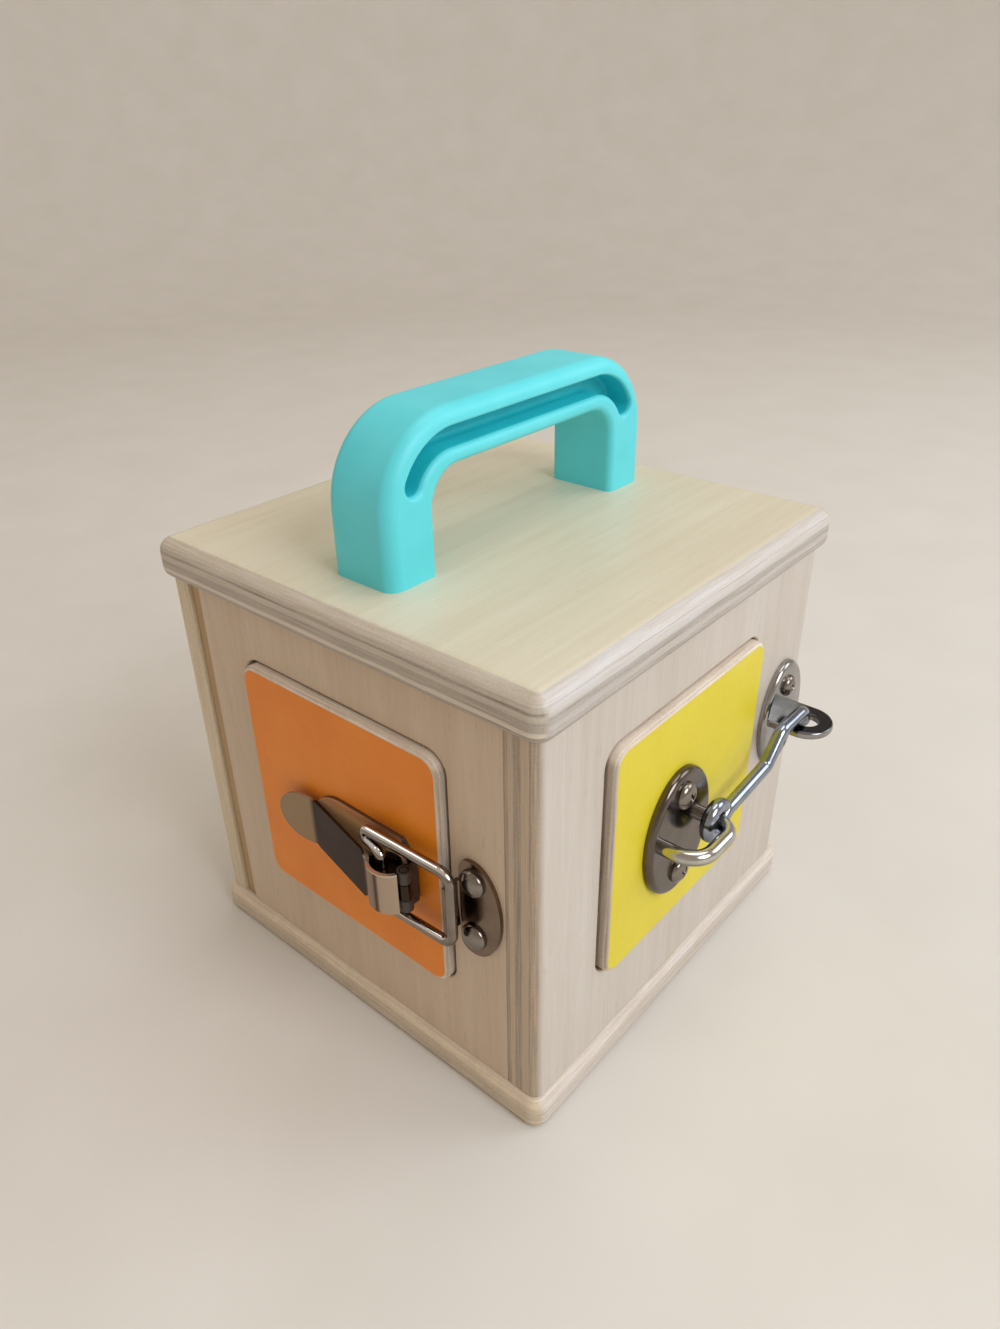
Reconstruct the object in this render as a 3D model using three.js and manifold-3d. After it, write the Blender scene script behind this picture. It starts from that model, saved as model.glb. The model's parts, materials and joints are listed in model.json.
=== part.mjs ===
// Wooden lock box for toddlers: a plywood cube with two hinged doors, a panel that slides out at the left,
// a toggle latch, a hook and eye and a moulded handle. Millimetres, +Z up. The origin is the middle of the
// underside; the door with the latch faces -Y, the door with the hook faces +X.

import * as THREE from 'three';
import { mergeVertices } from 'three/addons/utils/BufferGeometryUtils.js';
import loadManifold from 'manifold-3d';

// Plywood box
const bodyWidth = 135;
const bodyDepth = 135;
const wallHeight = 117;
const plyThickness = 10;
const baseThickness = 10;
const lidThickness = 12;
const lidOverhang = 2.5;
const baseOverhang = 2.2;
const lidEdgeRadius = 3.4;
const lidCornerRadius = 4.5;
const baseEdgeRadius = 3;
const baseCornerRadius = 4.5;
const bodyCornerRadius = 2.2;
const windowEdgeRadius = 0.7;

// Sliding panel, its slot in the left side and the rails that guide it
const outerWallThickness = 7.5;
const slidingPanelThickness = 4.5;
const slidingClearance = 0.3;
const slidingFrontRecess = 1;
const slidingBackGap = 0.4;
const guideRailWidth = 4;
const guideRailHeight = 8;
const sideWindowSize = 75;
const fingerHoleRadius = 12;

// Doors and their pivot pins
const doorSize = 75;
const doorThickness = 10;
const doorProud = 2.5;
const doorCornerRadius = 5.5;
const doorEdgeRadius = 1.5;
const doorGap = 0.5;
const hingeGap = 1;
const doorMiddleRise = 63;
const orangeDoorOffset = 1.3;
const yellowDoorOffset = -3.4;
const pinRadius = 1.5;
const pinReach = 8;
const pinSetback = 10;
const pinDepth = 2.5;
const fitClearance = 0.3;

// Handle
const handleWidth = 22.6;
const handleLength = 108.5;
const handleHeight = 41.5;
const handleGripThickness = 14.7;
const handleFootLength = 16.25;
const handleOuterRadius = 24;
const handleInnerRadius = 9.5;
const handleEdgeRadius = 2.6;
const grooveInset = 4.7;
const grooveWidth = 5.7;
const grooveDepth = 8.5;
const grooveLip = 1.4;
const grooveEndAngle = THREE.MathUtils.degToRad(29);
const handleScrewReach = 14;

// Fasteners
const shankRadius = 1.5;
const shankReach = 6;
const recessReach = 2;
const recessWidth = 0.9;
const recessDepth = 1.2;
const handleShankRadius = 2;
const handleScrewHead = 4;
const handleScrewHeadHeight = 2.2;

// Toggle latch on the orange door; rises are measured out from the face of the door
const latchRise = 34.7;
const sheetThickness = 1;
const pivotInset = 8.2;
const pivotRise = 5.3;
const pivotPinRadius = 1;
const knuckleRadius = 1.9;
const knuckleGap = 0.4;
const leverKnuckleLength = 5;
const barrelRadius = 4.9;
const barrelRise = 6.2;
const barrelLength = 13;
const leverSlope = THREE.MathUtils.degToRad(12);
const leverRoot = THREE.MathUtils.degToRad(151);
const leverReach = 28.2;
const leverWidth = 16.2;
const leverNotch = 4.9;
const creaseBend = 2;
const tabLength = 13.3;
const tabRound = 9.2;
const tabTilt = THREE.MathUtils.degToRad(7);
const latchBaseLength = 41;
const latchBaseWidth = 22.4;
const latchBaseRound = 12;
const latchBaseTaper = 5;
const latchRivetHead = 2.5;
const latchRivetHeight = 1;
const latchRivetFront = 18;
const latchRivetSpacing = 12;

// Bail of the latch
const bailWireRadius = 1.45;
const bailLegRise = 3.6;
const bailSpan = 23.1;
const bailReturnSpan = 16.8;
const hairpinReach = 7.6;
const hairpinRise = 4.5;
const bailEndDepth = 3.5;
const bailEndRadius = 1.8;
const bailLegRadius = 3.6;

// Keeper of the latch
const keeperSetoff = 3.3;
const keeperThickness = 1.2;
const keeperWidth = 14.7;
const keeperHeight = 30.5;
const keeperFlatHeight = 21.4;
const keeperRoundWidth = 9.2;
const lipWidth = 15;
const lipRise = 3.8;
const lipBend = 1.5;
const keeperRivetHead = 3.9;
const keeperRivetHeight = 2.2;
const keeperRivetInset = 5.8;
const keeperRivetSpacing = 18;
const keeperDrop = 1.6;

// Hook, its plate and staple on the yellow door
const hookPlateRise = 33.5;
const hookPlateInset = 44.6;
const hookPlateWidth = 31;
const hookPlateHeight = 41;
const hookPlateThickness = 2.6;
const plateEdgeRadius = 0.8;
const hookScrewHead = 4;
const hookScrewHeight = 2.4;
const hookScrewSpacing = 26;
const stapleWireRadius = 2.2;
const stapleSpan = 19;
const stapleReach = 13.6;
const stapleRise = 1;
const stapleDepth = 5;
const stapleNearRadius = 7;
const stapleFarRadius = 4;
const hookWireRadius = 2.1;
const hookRingRadius = 4.6;
const hookStandoff = 7.5;
const hookBendFromTip = 23.5;
const hookCrestFromTip = 15.5;
const hookCrestRise = 10.3;
const hookBendRadius = 4;
const hookTipRadius = 3.5;

// Eye on the right wall
const eyeSetoff = 19.9;
const eyeRise = 38.9;
const eyePlateWidth = 24.5;
const eyePlateHeight = 37;
const eyePlateThickness = 2.5;
const eyeScrewHead = 3.4;
const eyeScrewHeight = 2;
const eyeScrewSpacing = 21;
const eyeTabShift = -2.7;
const eyeTabRise = 1.6;
const eyeTabThickness = 2.5;
const eyeTabRadius = 8.2;
const eyeTabReach = 11;
const eyeTabEdgeRadius = 0.8;
const eyeHoleRadius = 4.7;
const tipPlayIn = 2.3;
const tipPlaySide = 0.3;
const tipDepth = 2.8;

// Facets
const arcSegments = 3;
const wideArcSegments = 6;
const roundSegments = 14;
const edgeSegments = 3;
const roundSides = 14;
const domeSteps = 4;
const wireSides = 8;
const wireStep = 1.3;
const shortestRun = 0.1;
const mergeTolerance = 1e-4;
const cutOvershoot = 1;

// Planes and centres worked out from the sizes
const wallBottom = baseThickness;
const wallTop = wallBottom + wallHeight;
const lidTop = wallTop + lidThickness;
const right = bodyWidth / 2;
const left = -right;
const back = bodyDepth / 2;
const front = -back;
const doorBottom = wallBottom + doorMiddleRise - doorSize / 2;
const doorTop = doorBottom + doorSize;
const orangeFace = front - doorProud;
const yellowFace = right + doorProud;
const orangeLeft = orangeDoorOffset - doorSize / 2;
const orangeRight = orangeLeft + doorSize;
const yellowNear = yellowDoorOffset - doorSize / 2;
const yellowFar = yellowNear + doorSize;
const slotOuter = left + outerWallThickness;
const slotInner = slotOuter + slidingPanelThickness + 2 * slidingClearance;

const wasm = await loadManifold();
wasm.setup();

const up = new THREE.Vector3(0, 1, 0);
const outFront = new THREE.Vector3(0, -1, 0);
const outRight = new THREE.Vector3(1, 0, 0);
const down = new THREE.Vector3(0, 0, -1);
const toRightFace = new THREE.Matrix4().makeBasis(
  new THREE.Vector3(0, 1, 0),
  new THREE.Vector3(0, 0, 1),
  outRight,
);

function at(x, y, z) {
  return new THREE.Vector3(x, y, z);
}

// A closed geometry as a solid that can be joined and cut
function solid(geometry) {
  const bare = geometry.clone();
  bare.deleteAttribute('normal');
  bare.deleteAttribute('uv');
  const merged = mergeVertices(bare, mergeTolerance);
  const corners = merged.index.array;
  const triangles = [];
  for (let i = 0; i < corners.length; i += 3) {
    const [a, b, c] = corners.slice(i, i + 3);
    if (a !== b && b !== c && c !== a) triangles.push(a, b, c);
  }
  return new wasm.Manifold(new wasm.Mesh({
    numProp: 3,
    vertProperties: merged.attributes.position.array,
    triVerts: new Uint32Array(triangles),
  }));
}

function geometryOf(body) {
  const mesh = body.getMesh();
  const geometry = new THREE.BufferGeometry();
  geometry.setAttribute('position', new THREE.BufferAttribute(mesh.vertProperties, 3));
  geometry.setIndex(new THREE.BufferAttribute(mesh.triVerts, 1));
  geometry.computeVertexNormals();
  return geometry;
}

function join(...geometries) {
  return geometries.map(solid).reduce((whole, piece) => whole.add(piece));
}

function cut(body, ...geometries) {
  return geometries.map(solid).reduce((rest, tool) => rest.subtract(tool), body);
}

// A flat plate of a shape, lying on the XY plane, with its edges rounded if a radius is given
function slab(shape, thickness, edgeRadius = 0, curveSegments = arcSegments) {
  const geometry = new THREE.ExtrudeGeometry(shape, {
    depth: thickness - 2 * edgeRadius,
    bevelEnabled: edgeRadius > 0,
    bevelThickness: edgeRadius,
    bevelSize: edgeRadius,
    bevelOffset: -edgeRadius,
    bevelSegments: edgeSegments,
    curveSegments,
  });
  return geometry.translate(0, 0, edgeRadius);
}

// A plate that is wider than its shape, with a bevel down to the shape on both sides
function flare(shape, thickness, width, curveSegments) {
  return new THREE.ExtrudeGeometry(shape, {
    depth: thickness,
    bevelThickness: width,
    bevelSize: width,
    bevelSegments: 1,
    curveSegments,
  });
}

// The same plate standing on a face: its shape is (x, z) on the front and (y, z) on the right
function onFront(geometry, y) {
  return geometry.rotateX(Math.PI / 2).translate(0, y, 0);
}

function onRight(geometry, x) {
  return geometry.applyMatrix4(toRightFace).translate(x, 0, 0);
}

function block(low, high) {
  const size = high.clone().sub(low);
  const middle = low.clone().add(high).multiplyScalar(0.5);
  return new THREE.BoxGeometry(size.x, size.y, size.z).translate(middle.x, middle.y, middle.z);
}

function rod(from, to, radius) {
  const axis = to.clone().sub(from);
  const middle = from.clone().add(to).multiplyScalar(0.5);
  const turn = new THREE.Quaternion().setFromUnitVectors(up, axis.clone().normalize());
  return new THREE.CylinderGeometry(radius, radius, axis.length(), roundSides)
    .applyQuaternion(turn)
    .translate(middle.x, middle.y, middle.z);
}

function roundedRectangle(x0, y0, width, height, radius) {
  const shape = new THREE.Shape();
  const x1 = x0 + width;
  const y1 = y0 + height;
  shape.absarc(x1 - radius, y0 + radius, radius, -Math.PI / 2, 0);
  shape.absarc(x1 - radius, y1 - radius, radius, 0, Math.PI / 2);
  shape.absarc(x0 + radius, y1 - radius, radius, Math.PI / 2, Math.PI);
  shape.absarc(x0 + radius, y0 + radius, radius, Math.PI, 1.5 * Math.PI);
  return shape;
}

function rectangle(x0, y0, x1, y1) {
  const shape = new THREE.Shape();
  shape.moveTo(x0, y0).lineTo(x1, y0).lineTo(x1, y1).lineTo(x0, y1);
  return shape;
}

function ellipse(x, y, width, height) {
  const shape = new THREE.Shape();
  shape.absellipse(x, y, width / 2, height / 2, 0, 2 * Math.PI);
  return shape;
}

// Straight runs joined by round corners, for bent wire
function bentPath(points, radii) {
  const path = new THREE.CurvePath();
  let start = points[0];
  radii.forEach((radius, i) => {
    const corner = points[i + 1];
    const behind = points[i].clone().sub(corner).normalize();
    const ahead = points[i + 2].clone().sub(corner).normalize();
    const turn = Math.PI - behind.angleTo(ahead);
    const setback = radius * Math.tan(turn / 2);
    const handle = setback - (4 / 3) * Math.tan(turn / 4) * radius;
    const enter = corner.clone().addScaledVector(behind, setback);
    const leave = corner.clone().addScaledVector(ahead, setback);
    const enterHandle = corner.clone().addScaledVector(behind, handle);
    const leaveHandle = corner.clone().addScaledVector(ahead, handle);
    if (start.distanceTo(enter) > shortestRun) path.add(new THREE.LineCurve3(start, enter));
    path.add(new THREE.CubicBezierCurve3(enter, enterHandle, leaveHandle, leave));
    start = leave;
  });
  path.add(new THREE.LineCurve3(start, points.at(-1)));
  return path;
}

function wire(path, radius) {
  const section = ellipse(0, 0, 2 * radius, 2 * radius);
  return new THREE.ExtrudeGeometry(section, {
    steps: Math.ceil(path.getLength() / wireStep),
    curveSegments: wireSides / 2,
    extrudePath: path,
  });
}

// Rivet or screw with a domed head: its head rises along +Y from the origin and its shank goes down
function domedFastener(headRadius, headHeight, radius, length) {
  const profile = [
    new THREE.Vector2(0, -length),
    new THREE.Vector2(radius, -length),
    new THREE.Vector2(radius, 0),
  ];
  for (let i = 0; i < domeSteps; i++) {
    const angle = (i / domeSteps) * Math.PI / 2;
    profile.push(new THREE.Vector2(headRadius * Math.cos(angle), headHeight * Math.sin(angle)));
  }
  profile.push(new THREE.Vector2(0, headHeight));
  return geometryOf(solid(new THREE.LatheGeometry(profile, roundSides)));
}

// The same with a cross recess for a screwdriver
function crossHeadScrew(headRadius, headHeight, radius, length) {
  const reach = at(recessReach, 0, recessWidth / 2);
  const slots = [0, Math.PI / 2].map((turn) => block(
    at(-reach.x, headHeight - recessDepth, -reach.z),
    at(reach.x, headHeight + cutOvershoot, reach.z),
  ).rotateY(turn));
  return geometryOf(cut(solid(domedFastener(headRadius, headHeight, radius, length)), ...slots));
}

// Finishes
function finish(color, roughness, metalness) {
  return () => new THREE.MeshStandardMaterial({ color, roughness, metalness });
}

const birch = finish(0xd8c5a0, 0.6, 0);
const orangePaint = finish(0xf0862d, 0.4, 0);
const yellowPaint = finish(0xe9d92f, 0.4, 0);
const tealPlastic = finish(0x52d6c8, 0.45, 0);
const nickel = finish(0x8c857c, 0.28, 1);
const steel = finish(0xb4b4b0, 0.35, 1);

const lockBox = new THREE.Group();

function addPiece(group, name, shape, material) {
  const geometry = shape.isBufferGeometry ? shape : geometryOf(shape);
  const mesh = new THREE.Mesh(geometry, material());
  mesh.name = name;
  group.add(mesh);
  return mesh;
}

function addFastener(group, name, geometry, position, outward, material = nickel) {
  const mesh = addPiece(group, name, geometry, material);
  mesh.position.copy(position);
  mesh.quaternion.setFromUnitVectors(up, outward);
}

// Holes for fasteners or for the legs of a staple: sunk below a face, or right through a plate on it
function sunkHoles(centres, outward, depth, radius) {
  return centres.map((centre) => rod(
    centre.clone().addScaledVector(outward, cutOvershoot),
    centre.clone().addScaledVector(outward, -depth - fitClearance),
    radius + fitClearance,
  ));
}

function plateHoles(centres, outward, thickness, radius) {
  return centres.map((centre) => rod(
    centre.clone().addScaledVector(outward, -cutOvershoot),
    centre.clone().addScaledVector(outward, thickness + cutOvershoot),
    radius + fitClearance,
  ));
}

// Where the pivot pins stand
const orangeAxis = at(orangeLeft + pinSetback, front + pinDepth, 0);
const yellowAxis = at(right - pinDepth, yellowNear + pinSetback, 0);

function pinSpans() {
  const reach = pinReach + doorGap;
  return [
    { name: 'top', low: doorTop - pinReach, high: doorTop + reach },
    { name: 'bottom', low: doorBottom - reach, high: doorBottom + pinReach },
  ];
}

function pinHoles(axis) {
  return pinSpans().map(({ low, high }) => rod(
    at(axis.x, axis.y, low - fitClearance),
    at(axis.x, axis.y, high + fitClearance),
    pinRadius + fitClearance,
  ));
}

function addPins(group, colour, axis) {
  pinSpans().forEach(({ name, low, high }) => {
    const pin = rod(at(0, 0, low), at(0, 0, high), pinRadius);
    const mesh = addPiece(group, `${colour}_door_pin_${name}`, pin, steel);
    mesh.position.copy(axis);
  });
}

// Where the hardware sits
const latchZ = doorBottom + latchRise;
const pivot = at(orangeRight - pivotInset, orangeFace - pivotRise, latchZ);
const barrel = at(pivot.x - knuckleRadius - knuckleGap - barrelRadius, orangeFace - barrelRise, latchZ);
const lipLeft = orangeRight + keeperSetoff;
const lipRight = lipLeft + keeperThickness;
const keeperZ = latchZ - keeperDrop;
const bailLeg = lipRight + fitClearance + bailWireRadius;
const hookPlateY = yellowFar - hookPlateInset;
const hookPlateZ = doorBottom + hookPlateRise;
const stapleZ = hookPlateZ + stapleRise;
const stapleNear = hookPlateY - stapleSpan / 2;
const stapleFar = hookPlateY + stapleSpan / 2;
const hookX = yellowFace + hookStandoff;
const eyeY = yellowFar + eyeSetoff;
const eyeZ = doorBottom + eyeRise;
const eyeTabY = eyeY + eyeTabShift;
const eyeTabTop = eyeZ + eyeTabRise + eyeTabThickness / 2;
const eyeHole = at(hookX + tipPlayIn, eyeTabY, eyeTabTop - eyeTabThickness / 2);
const hookTipY = eyeTabY + tipPlaySide;

const keeperRivets = [1, -1].map((side) => at(
  lipLeft + keeperRivetInset,
  front,
  keeperZ + side * keeperRivetSpacing / 2,
));
const latchRivets = [0, 1].map((step) => at(
  pivot.x - latchRivetFront - step * latchRivetSpacing,
  orangeFace,
  latchZ,
));
const hookScrews = [1, -1].map((side) => at(
  yellowFace,
  hookPlateY,
  hookPlateZ + side * hookScrewSpacing / 2,
));
const eyeScrews = [1, -1].map((side) => at(right, eyeY, eyeZ + side * eyeScrewSpacing / 2));
const stapleLegs = [stapleNear, stapleFar].map((y) => at(yellowFace, y, stapleZ));

// Base and lid
function coverPlate(overhang, thickness, cornerRadius, edgeRadius, z) {
  const width = bodyWidth + 2 * overhang;
  const depth = bodyDepth + 2 * overhang;
  const outline = roundedRectangle(-width / 2, -depth / 2, width, depth, cornerRadius);
  return slab(outline, thickness, edgeRadius).translate(0, 0, z);
}

const handleFeet = [-1, 1].map((side) => side * (handleLength - handleFootLength) / 2);

function lid() {
  const plate = coverPlate(lidOverhang, lidThickness, lidCornerRadius, lidEdgeRadius, wallTop);
  const screwHoles = handleFeet.map((y) => rod(
    at(0, y, wallTop - cutOvershoot),
    at(0, y, lidTop + cutOvershoot),
    handleShankRadius + fitClearance,
  ));
  return cut(solid(plate), ...screwHoles);
}

// A wall: its plan is extruded to full height and the window is cut with rounded edges
function wall(plan) {
  return solid(slab(plan, wallHeight).translate(0, 0, wallBottom));
}

function windowed(plan, sheet) {
  return wall(plan).intersect(solid(sheet));
}

// A sheet with a window, larger than the wall that is cut from it
function windowSheet(thickness, x0, z0, width, height) {
  const margin = 2 * plyThickness;
  const reach = Math.max(bodyWidth, bodyDepth);
  const sheet = rectangle(-reach, wallBottom - margin, reach, wallTop + margin);
  sheet.holes.push(roundedRectangle(x0, z0, width, height, doorCornerRadius + doorGap));
  return slab(sheet, thickness, windowEdgeRadius);
}

function doorWindow(hingeEdge) {
  return windowSheet(
    plyThickness,
    hingeEdge - hingeGap,
    doorBottom - doorGap,
    doorSize + hingeGap + doorGap,
    doorSize + 2 * doorGap,
  );
}

// Plan of a side wall that runs from front to back, with its two outer corners eased
function sideWallPlan(inner, outer) {
  const plan = new THREE.Shape();
  const inward = Math.sign(inner - outer) * bodyCornerRadius;
  plan.moveTo(inner, front);
  plan.lineTo(outer + inward, front);
  plan.quadraticCurveTo(outer, front, outer, front + bodyCornerRadius);
  plan.lineTo(outer, back - bodyCornerRadius);
  plan.quadraticCurveTo(outer, back, outer + inward, back);
  plan.lineTo(inner, back);
  return plan;
}

function frontPanel() {
  const plan = rectangle(slotInner, front, right - plyThickness, front + plyThickness);
  const sheet = onFront(doorWindow(orangeLeft), front + plyThickness);
  return cut(
    windowed(plan, sheet),
    ...pinHoles(orangeAxis),
    ...sunkHoles(keeperRivets, outFront, shankReach, shankRadius),
  );
}

function rightPanel() {
  const sheet = onRight(doorWindow(yellowNear), right - plyThickness);
  return cut(
    windowed(sideWallPlan(right - plyThickness, right), sheet),
    ...pinHoles(yellowAxis),
    ...sunkHoles(eyeScrews, outRight, shankReach, shankRadius),
  );
}

function leftPanel() {
  const bottom = doorBottom + (doorSize - sideWindowSize) / 2;
  const sheet = windowSheet(outerWallThickness, -sideWindowSize / 2, bottom, sideWindowSize, sideWindowSize);
  return windowed(sideWallPlan(slotOuter, left), onRight(sheet, left));
}

function backPanel() {
  return wall(rectangle(slotOuter, back - plyThickness, right - plyThickness, back));
}

// Sliding panel with its finger hole, and the two rails that keep it against the outer wall
function slidingPanel() {
  const y0 = front + slidingFrontRecess;
  const y1 = back - plyThickness - slidingBackGap;
  const z0 = wallBottom + slidingClearance;
  const z1 = wallTop - slidingClearance;
  const sheet = rectangle(y0, z0, y1, z1);
  sheet.holes.push(ellipse(0, (doorBottom + doorTop) / 2, 2 * fingerHoleRadius, 2 * fingerHoleRadius));
  return onRight(slab(sheet, slidingPanelThickness, 0, roundSegments), slotOuter + slidingClearance);
}

function guideRail(z) {
  return block(
    at(slotInner, front + plyThickness, z),
    at(slotInner + guideRailWidth, back - plyThickness, z + guideRailHeight),
  );
}

// Handle: an arch with round shoulders and a groove along each side
function handle() {
  const halfLength = handleLength / 2;
  const halfGap = halfLength - handleFootLength;
  const top = lidTop + handleHeight;
  const underside = top - handleGripThickness;
  const foot = lidTop - 2 * handleEdgeRadius;
  const shoulder = halfLength - handleOuterRadius;
  const shoulderZ = top - handleOuterRadius;
  const armpit = halfGap - handleInnerRadius;
  const armpitZ = underside - handleInnerRadius;
  const quarter = Math.PI / 2;

  const arch = new THREE.Shape();
  arch.moveTo(-halfLength, foot);
  arch.lineTo(-halfLength, shoulderZ);
  arch.absarc(-shoulder, shoulderZ, handleOuterRadius, Math.PI, quarter, true);
  arch.absarc(shoulder, shoulderZ, handleOuterRadius, quarter, 0, true);
  arch.lineTo(halfLength, foot);
  arch.lineTo(halfGap, foot);
  arch.absarc(armpit, armpitZ, handleInnerRadius, 0, quarter);
  arch.absarc(-armpit, armpitZ, handleInnerRadius, quarter, Math.PI);
  arch.lineTo(-halfGap, foot);
  const archBar = onRight(slab(arch, handleWidth, handleEdgeRadius, wideArcSegments), -handleWidth / 2);

  const grooveOuter = handleOuterRadius - grooveInset;
  const grooveInner = grooveOuter - grooveWidth;
  const grooveMiddle = grooveOuter - grooveWidth / 2;
  const endY = shoulder + grooveMiddle * Math.cos(grooveEndAngle);
  const endZ = shoulderZ + grooveMiddle * Math.sin(grooveEndAngle);
  const farAngle = Math.PI - grooveEndAngle;
  const track = new THREE.Shape();
  track.absarc(-shoulder, shoulderZ, grooveOuter, farAngle, quarter, true);
  track.absarc(shoulder, shoulderZ, grooveOuter, quarter, grooveEndAngle, true);
  track.absarc(endY, endZ, grooveWidth / 2, grooveEndAngle, grooveEndAngle - Math.PI, true);
  track.absarc(shoulder, shoulderZ, grooveInner, grooveEndAngle, quarter);
  track.absarc(-shoulder, shoulderZ, grooveInner, quarter, farAngle);
  track.absarc(-endY, endZ, grooveWidth / 2, farAngle + Math.PI, farAngle, true);
  const grooves = [1, -1].flatMap((side) => {
    const face = side * handleWidth / 2;
    const floor = Math.min(face - side * grooveDepth, face + side * cutOvershoot);
    const mouth = Math.min(face, face + side * 2 * cutOvershoot);
    return [
      onRight(slab(track, grooveDepth + cutOvershoot, 0, wideArcSegments), floor),
      onRight(flare(track, 2 * cutOvershoot, grooveLip, wideArcSegments), mouth),
    ];
  });

  const belowLid = block(at(-handleWidth, -handleLength, 0), at(handleWidth, handleLength, lidTop));
  const screwHoles = handleFeet.map((y) => rod(
    at(0, y, lidTop - cutOvershoot),
    at(0, y, lidTop + handleScrewReach + fitClearance),
    handleShankRadius + fitClearance,
  ));
  return cut(solid(archBar), belowLid, ...grooves, ...screwHoles);
}

// Doors
function doorBlank(hingeEdge) {
  const outline = roundedRectangle(hingeEdge, doorBottom, doorSize, doorSize, doorCornerRadius);
  return slab(outline, doorThickness, doorEdgeRadius);
}

function orangeDoor() {
  const blank = onFront(doorBlank(orangeLeft), orangeFace + doorThickness);
  return cut(
    solid(blank),
    ...pinHoles(orangeAxis),
    ...sunkHoles(latchRivets, outFront, shankReach, shankRadius),
  );
}

function yellowDoor() {
  const blank = onRight(doorBlank(yellowNear), yellowFace - doorThickness);
  return cut(
    solid(blank),
    ...pinHoles(yellowAxis),
    ...sunkHoles(hookScrews, outRight, shankReach, shankRadius),
    ...sunkHoles(stapleLegs, outRight, stapleDepth, stapleWireRadius),
  );
}

// A bar parallel to the latch's pivot, centred on its middle
function upright(centre, length, radius) {
  const half = at(0, 0, length / 2);
  return rod(centre.clone().sub(half), centre.clone().add(half), radius);
}

// Latch base: a leaf-shaped plate whose end is turned up and rolled around the pivot pin
function latchBase() {
  const half = latchBaseWidth / 2;
  const end = pivot.x + sheetThickness / 2;
  const round = end - latchBaseLength + latchBaseRound;
  const flange = barrelLength / 2;
  const leaf = new THREE.Shape();
  leaf.moveTo(end, latchZ - flange);
  leaf.lineTo(end, latchZ + flange);
  leaf.lineTo(end - latchBaseTaper, latchZ + half);
  leaf.absellipse(round, latchZ, latchBaseRound, half, Math.PI / 2, 1.5 * Math.PI);
  leaf.lineTo(end - latchBaseTaper, latchZ - half);
  const plate = onFront(slab(leaf, sheetThickness, 0, wideArcSegments), orangeFace);
  const upturn = block(
    at(end - sheetThickness, pivot.y, latchZ - flange),
    at(end, orangeFace, latchZ + flange),
  );
  const knuckle = upright(pivot, barrelLength, knuckleRadius);
  const leverRoom = upright(pivot, leverKnuckleLength + 2 * knuckleGap, knuckleRadius + knuckleGap);
  const pinHole = upright(pivot, barrelLength + cutOvershoot, pivotPinRadius + fitClearance);
  return cut(
    join(plate, upturn, knuckle),
    leverRoom,
    pinHole,
    ...plateHoles(latchRivets, outFront, sheetThickness, shankRadius),
  );
}

// Lever: a bent sheet with a round thumb tab, rolled into a barrel at its other end
function latchLever() {
  const along = new THREE.Vector2(-Math.cos(leverSlope), Math.sin(leverSlope));
  const outward = new THREE.Vector2(-along.y, along.x);
  const tabAlong = new THREE.Vector2(-Math.cos(tabTilt), -Math.sin(tabTilt));
  const tabOutward = new THREE.Vector2(-tabAlong.y, tabAlong.x);
  const start = new THREE.Vector2(
    barrel.x + barrelRadius * Math.cos(leverRoot),
    barrel.y - barrelRadius * Math.sin(leverRoot),
  );
  const root = start.clone().addScaledVector(along, -sheetThickness);
  const crease = start.clone().addScaledVector(along, leverReach);
  const tip = crease.clone().addScaledVector(tabAlong, tabLength);
  const beforeCrease = crease.clone().addScaledVector(along, -creaseBend);
  const afterCrease = crease.clone().addScaledVector(tabAlong, creaseBend);
  const inner = (point, normal) => point.clone().addScaledVector(normal, -sheetThickness);

  const profile = new THREE.Shape();
  profile.moveTo(root.x, root.y);
  profile.lineTo(beforeCrease.x, beforeCrease.y);
  profile.quadraticCurveTo(crease.x, crease.y, afterCrease.x, afterCrease.y);
  profile.lineTo(tip.x, tip.y);
  const innerTip = inner(tip, tabOutward);
  const innerAfter = inner(afterCrease, tabOutward);
  const innerCrease = inner(crease, outward);
  const innerBefore = inner(beforeCrease, outward);
  const innerRoot = inner(root, outward);
  profile.lineTo(innerTip.x, innerTip.y);
  profile.lineTo(innerAfter.x, innerAfter.y);
  profile.quadraticCurveTo(innerCrease.x, innerCrease.y, innerBefore.x, innerBefore.y);
  profile.lineTo(innerRoot.x, innerRoot.y);
  const bentSheet = slab(profile, leverWidth, 0, wideArcSegments).translate(0, 0, latchZ - leverWidth / 2);

  const half = leverWidth / 2;
  const neck = barrelLength / 2;
  const notch = barrel.x - leverNotch;
  const outline = new THREE.Shape();
  outline.moveTo(barrel.x, latchZ - neck);
  outline.lineTo(barrel.x, latchZ + neck);
  outline.lineTo(notch, latchZ + neck);
  outline.lineTo(notch, latchZ + half);
  outline.absellipse(tip.x + tabRound, latchZ, tabRound, half, Math.PI / 2, 1.5 * Math.PI);
  outline.lineTo(notch, latchZ - half);
  outline.lineTo(notch, latchZ - neck);
  const depth = pivotRise + 2 * barrelRadius;
  const blank = onFront(slab(outline, depth, 0, wideArcSegments), orangeFace);
  const sheet = solid(bentSheet).intersect(solid(blank));

  const roll = upright(barrel, barrelLength, barrelRadius);
  const tongue = block(
    at(barrel.x, pivot.y - sheetThickness / 2, latchZ - leverKnuckleLength / 2),
    at(pivot.x, pivot.y + sheetThickness / 2, latchZ + leverKnuckleLength / 2),
  );
  const knuckle = upright(pivot, leverKnuckleLength, knuckleRadius);
  const bore = upright(barrel, barrelLength + cutOvershoot, bailWireRadius + fitClearance);
  const pinHole = upright(pivot, leverKnuckleLength + cutOvershoot, pivotPinRadius + fitClearance);
  return cut(join(roll, tongue, knuckle).add(sheet), bore, pinHole);
}

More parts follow.
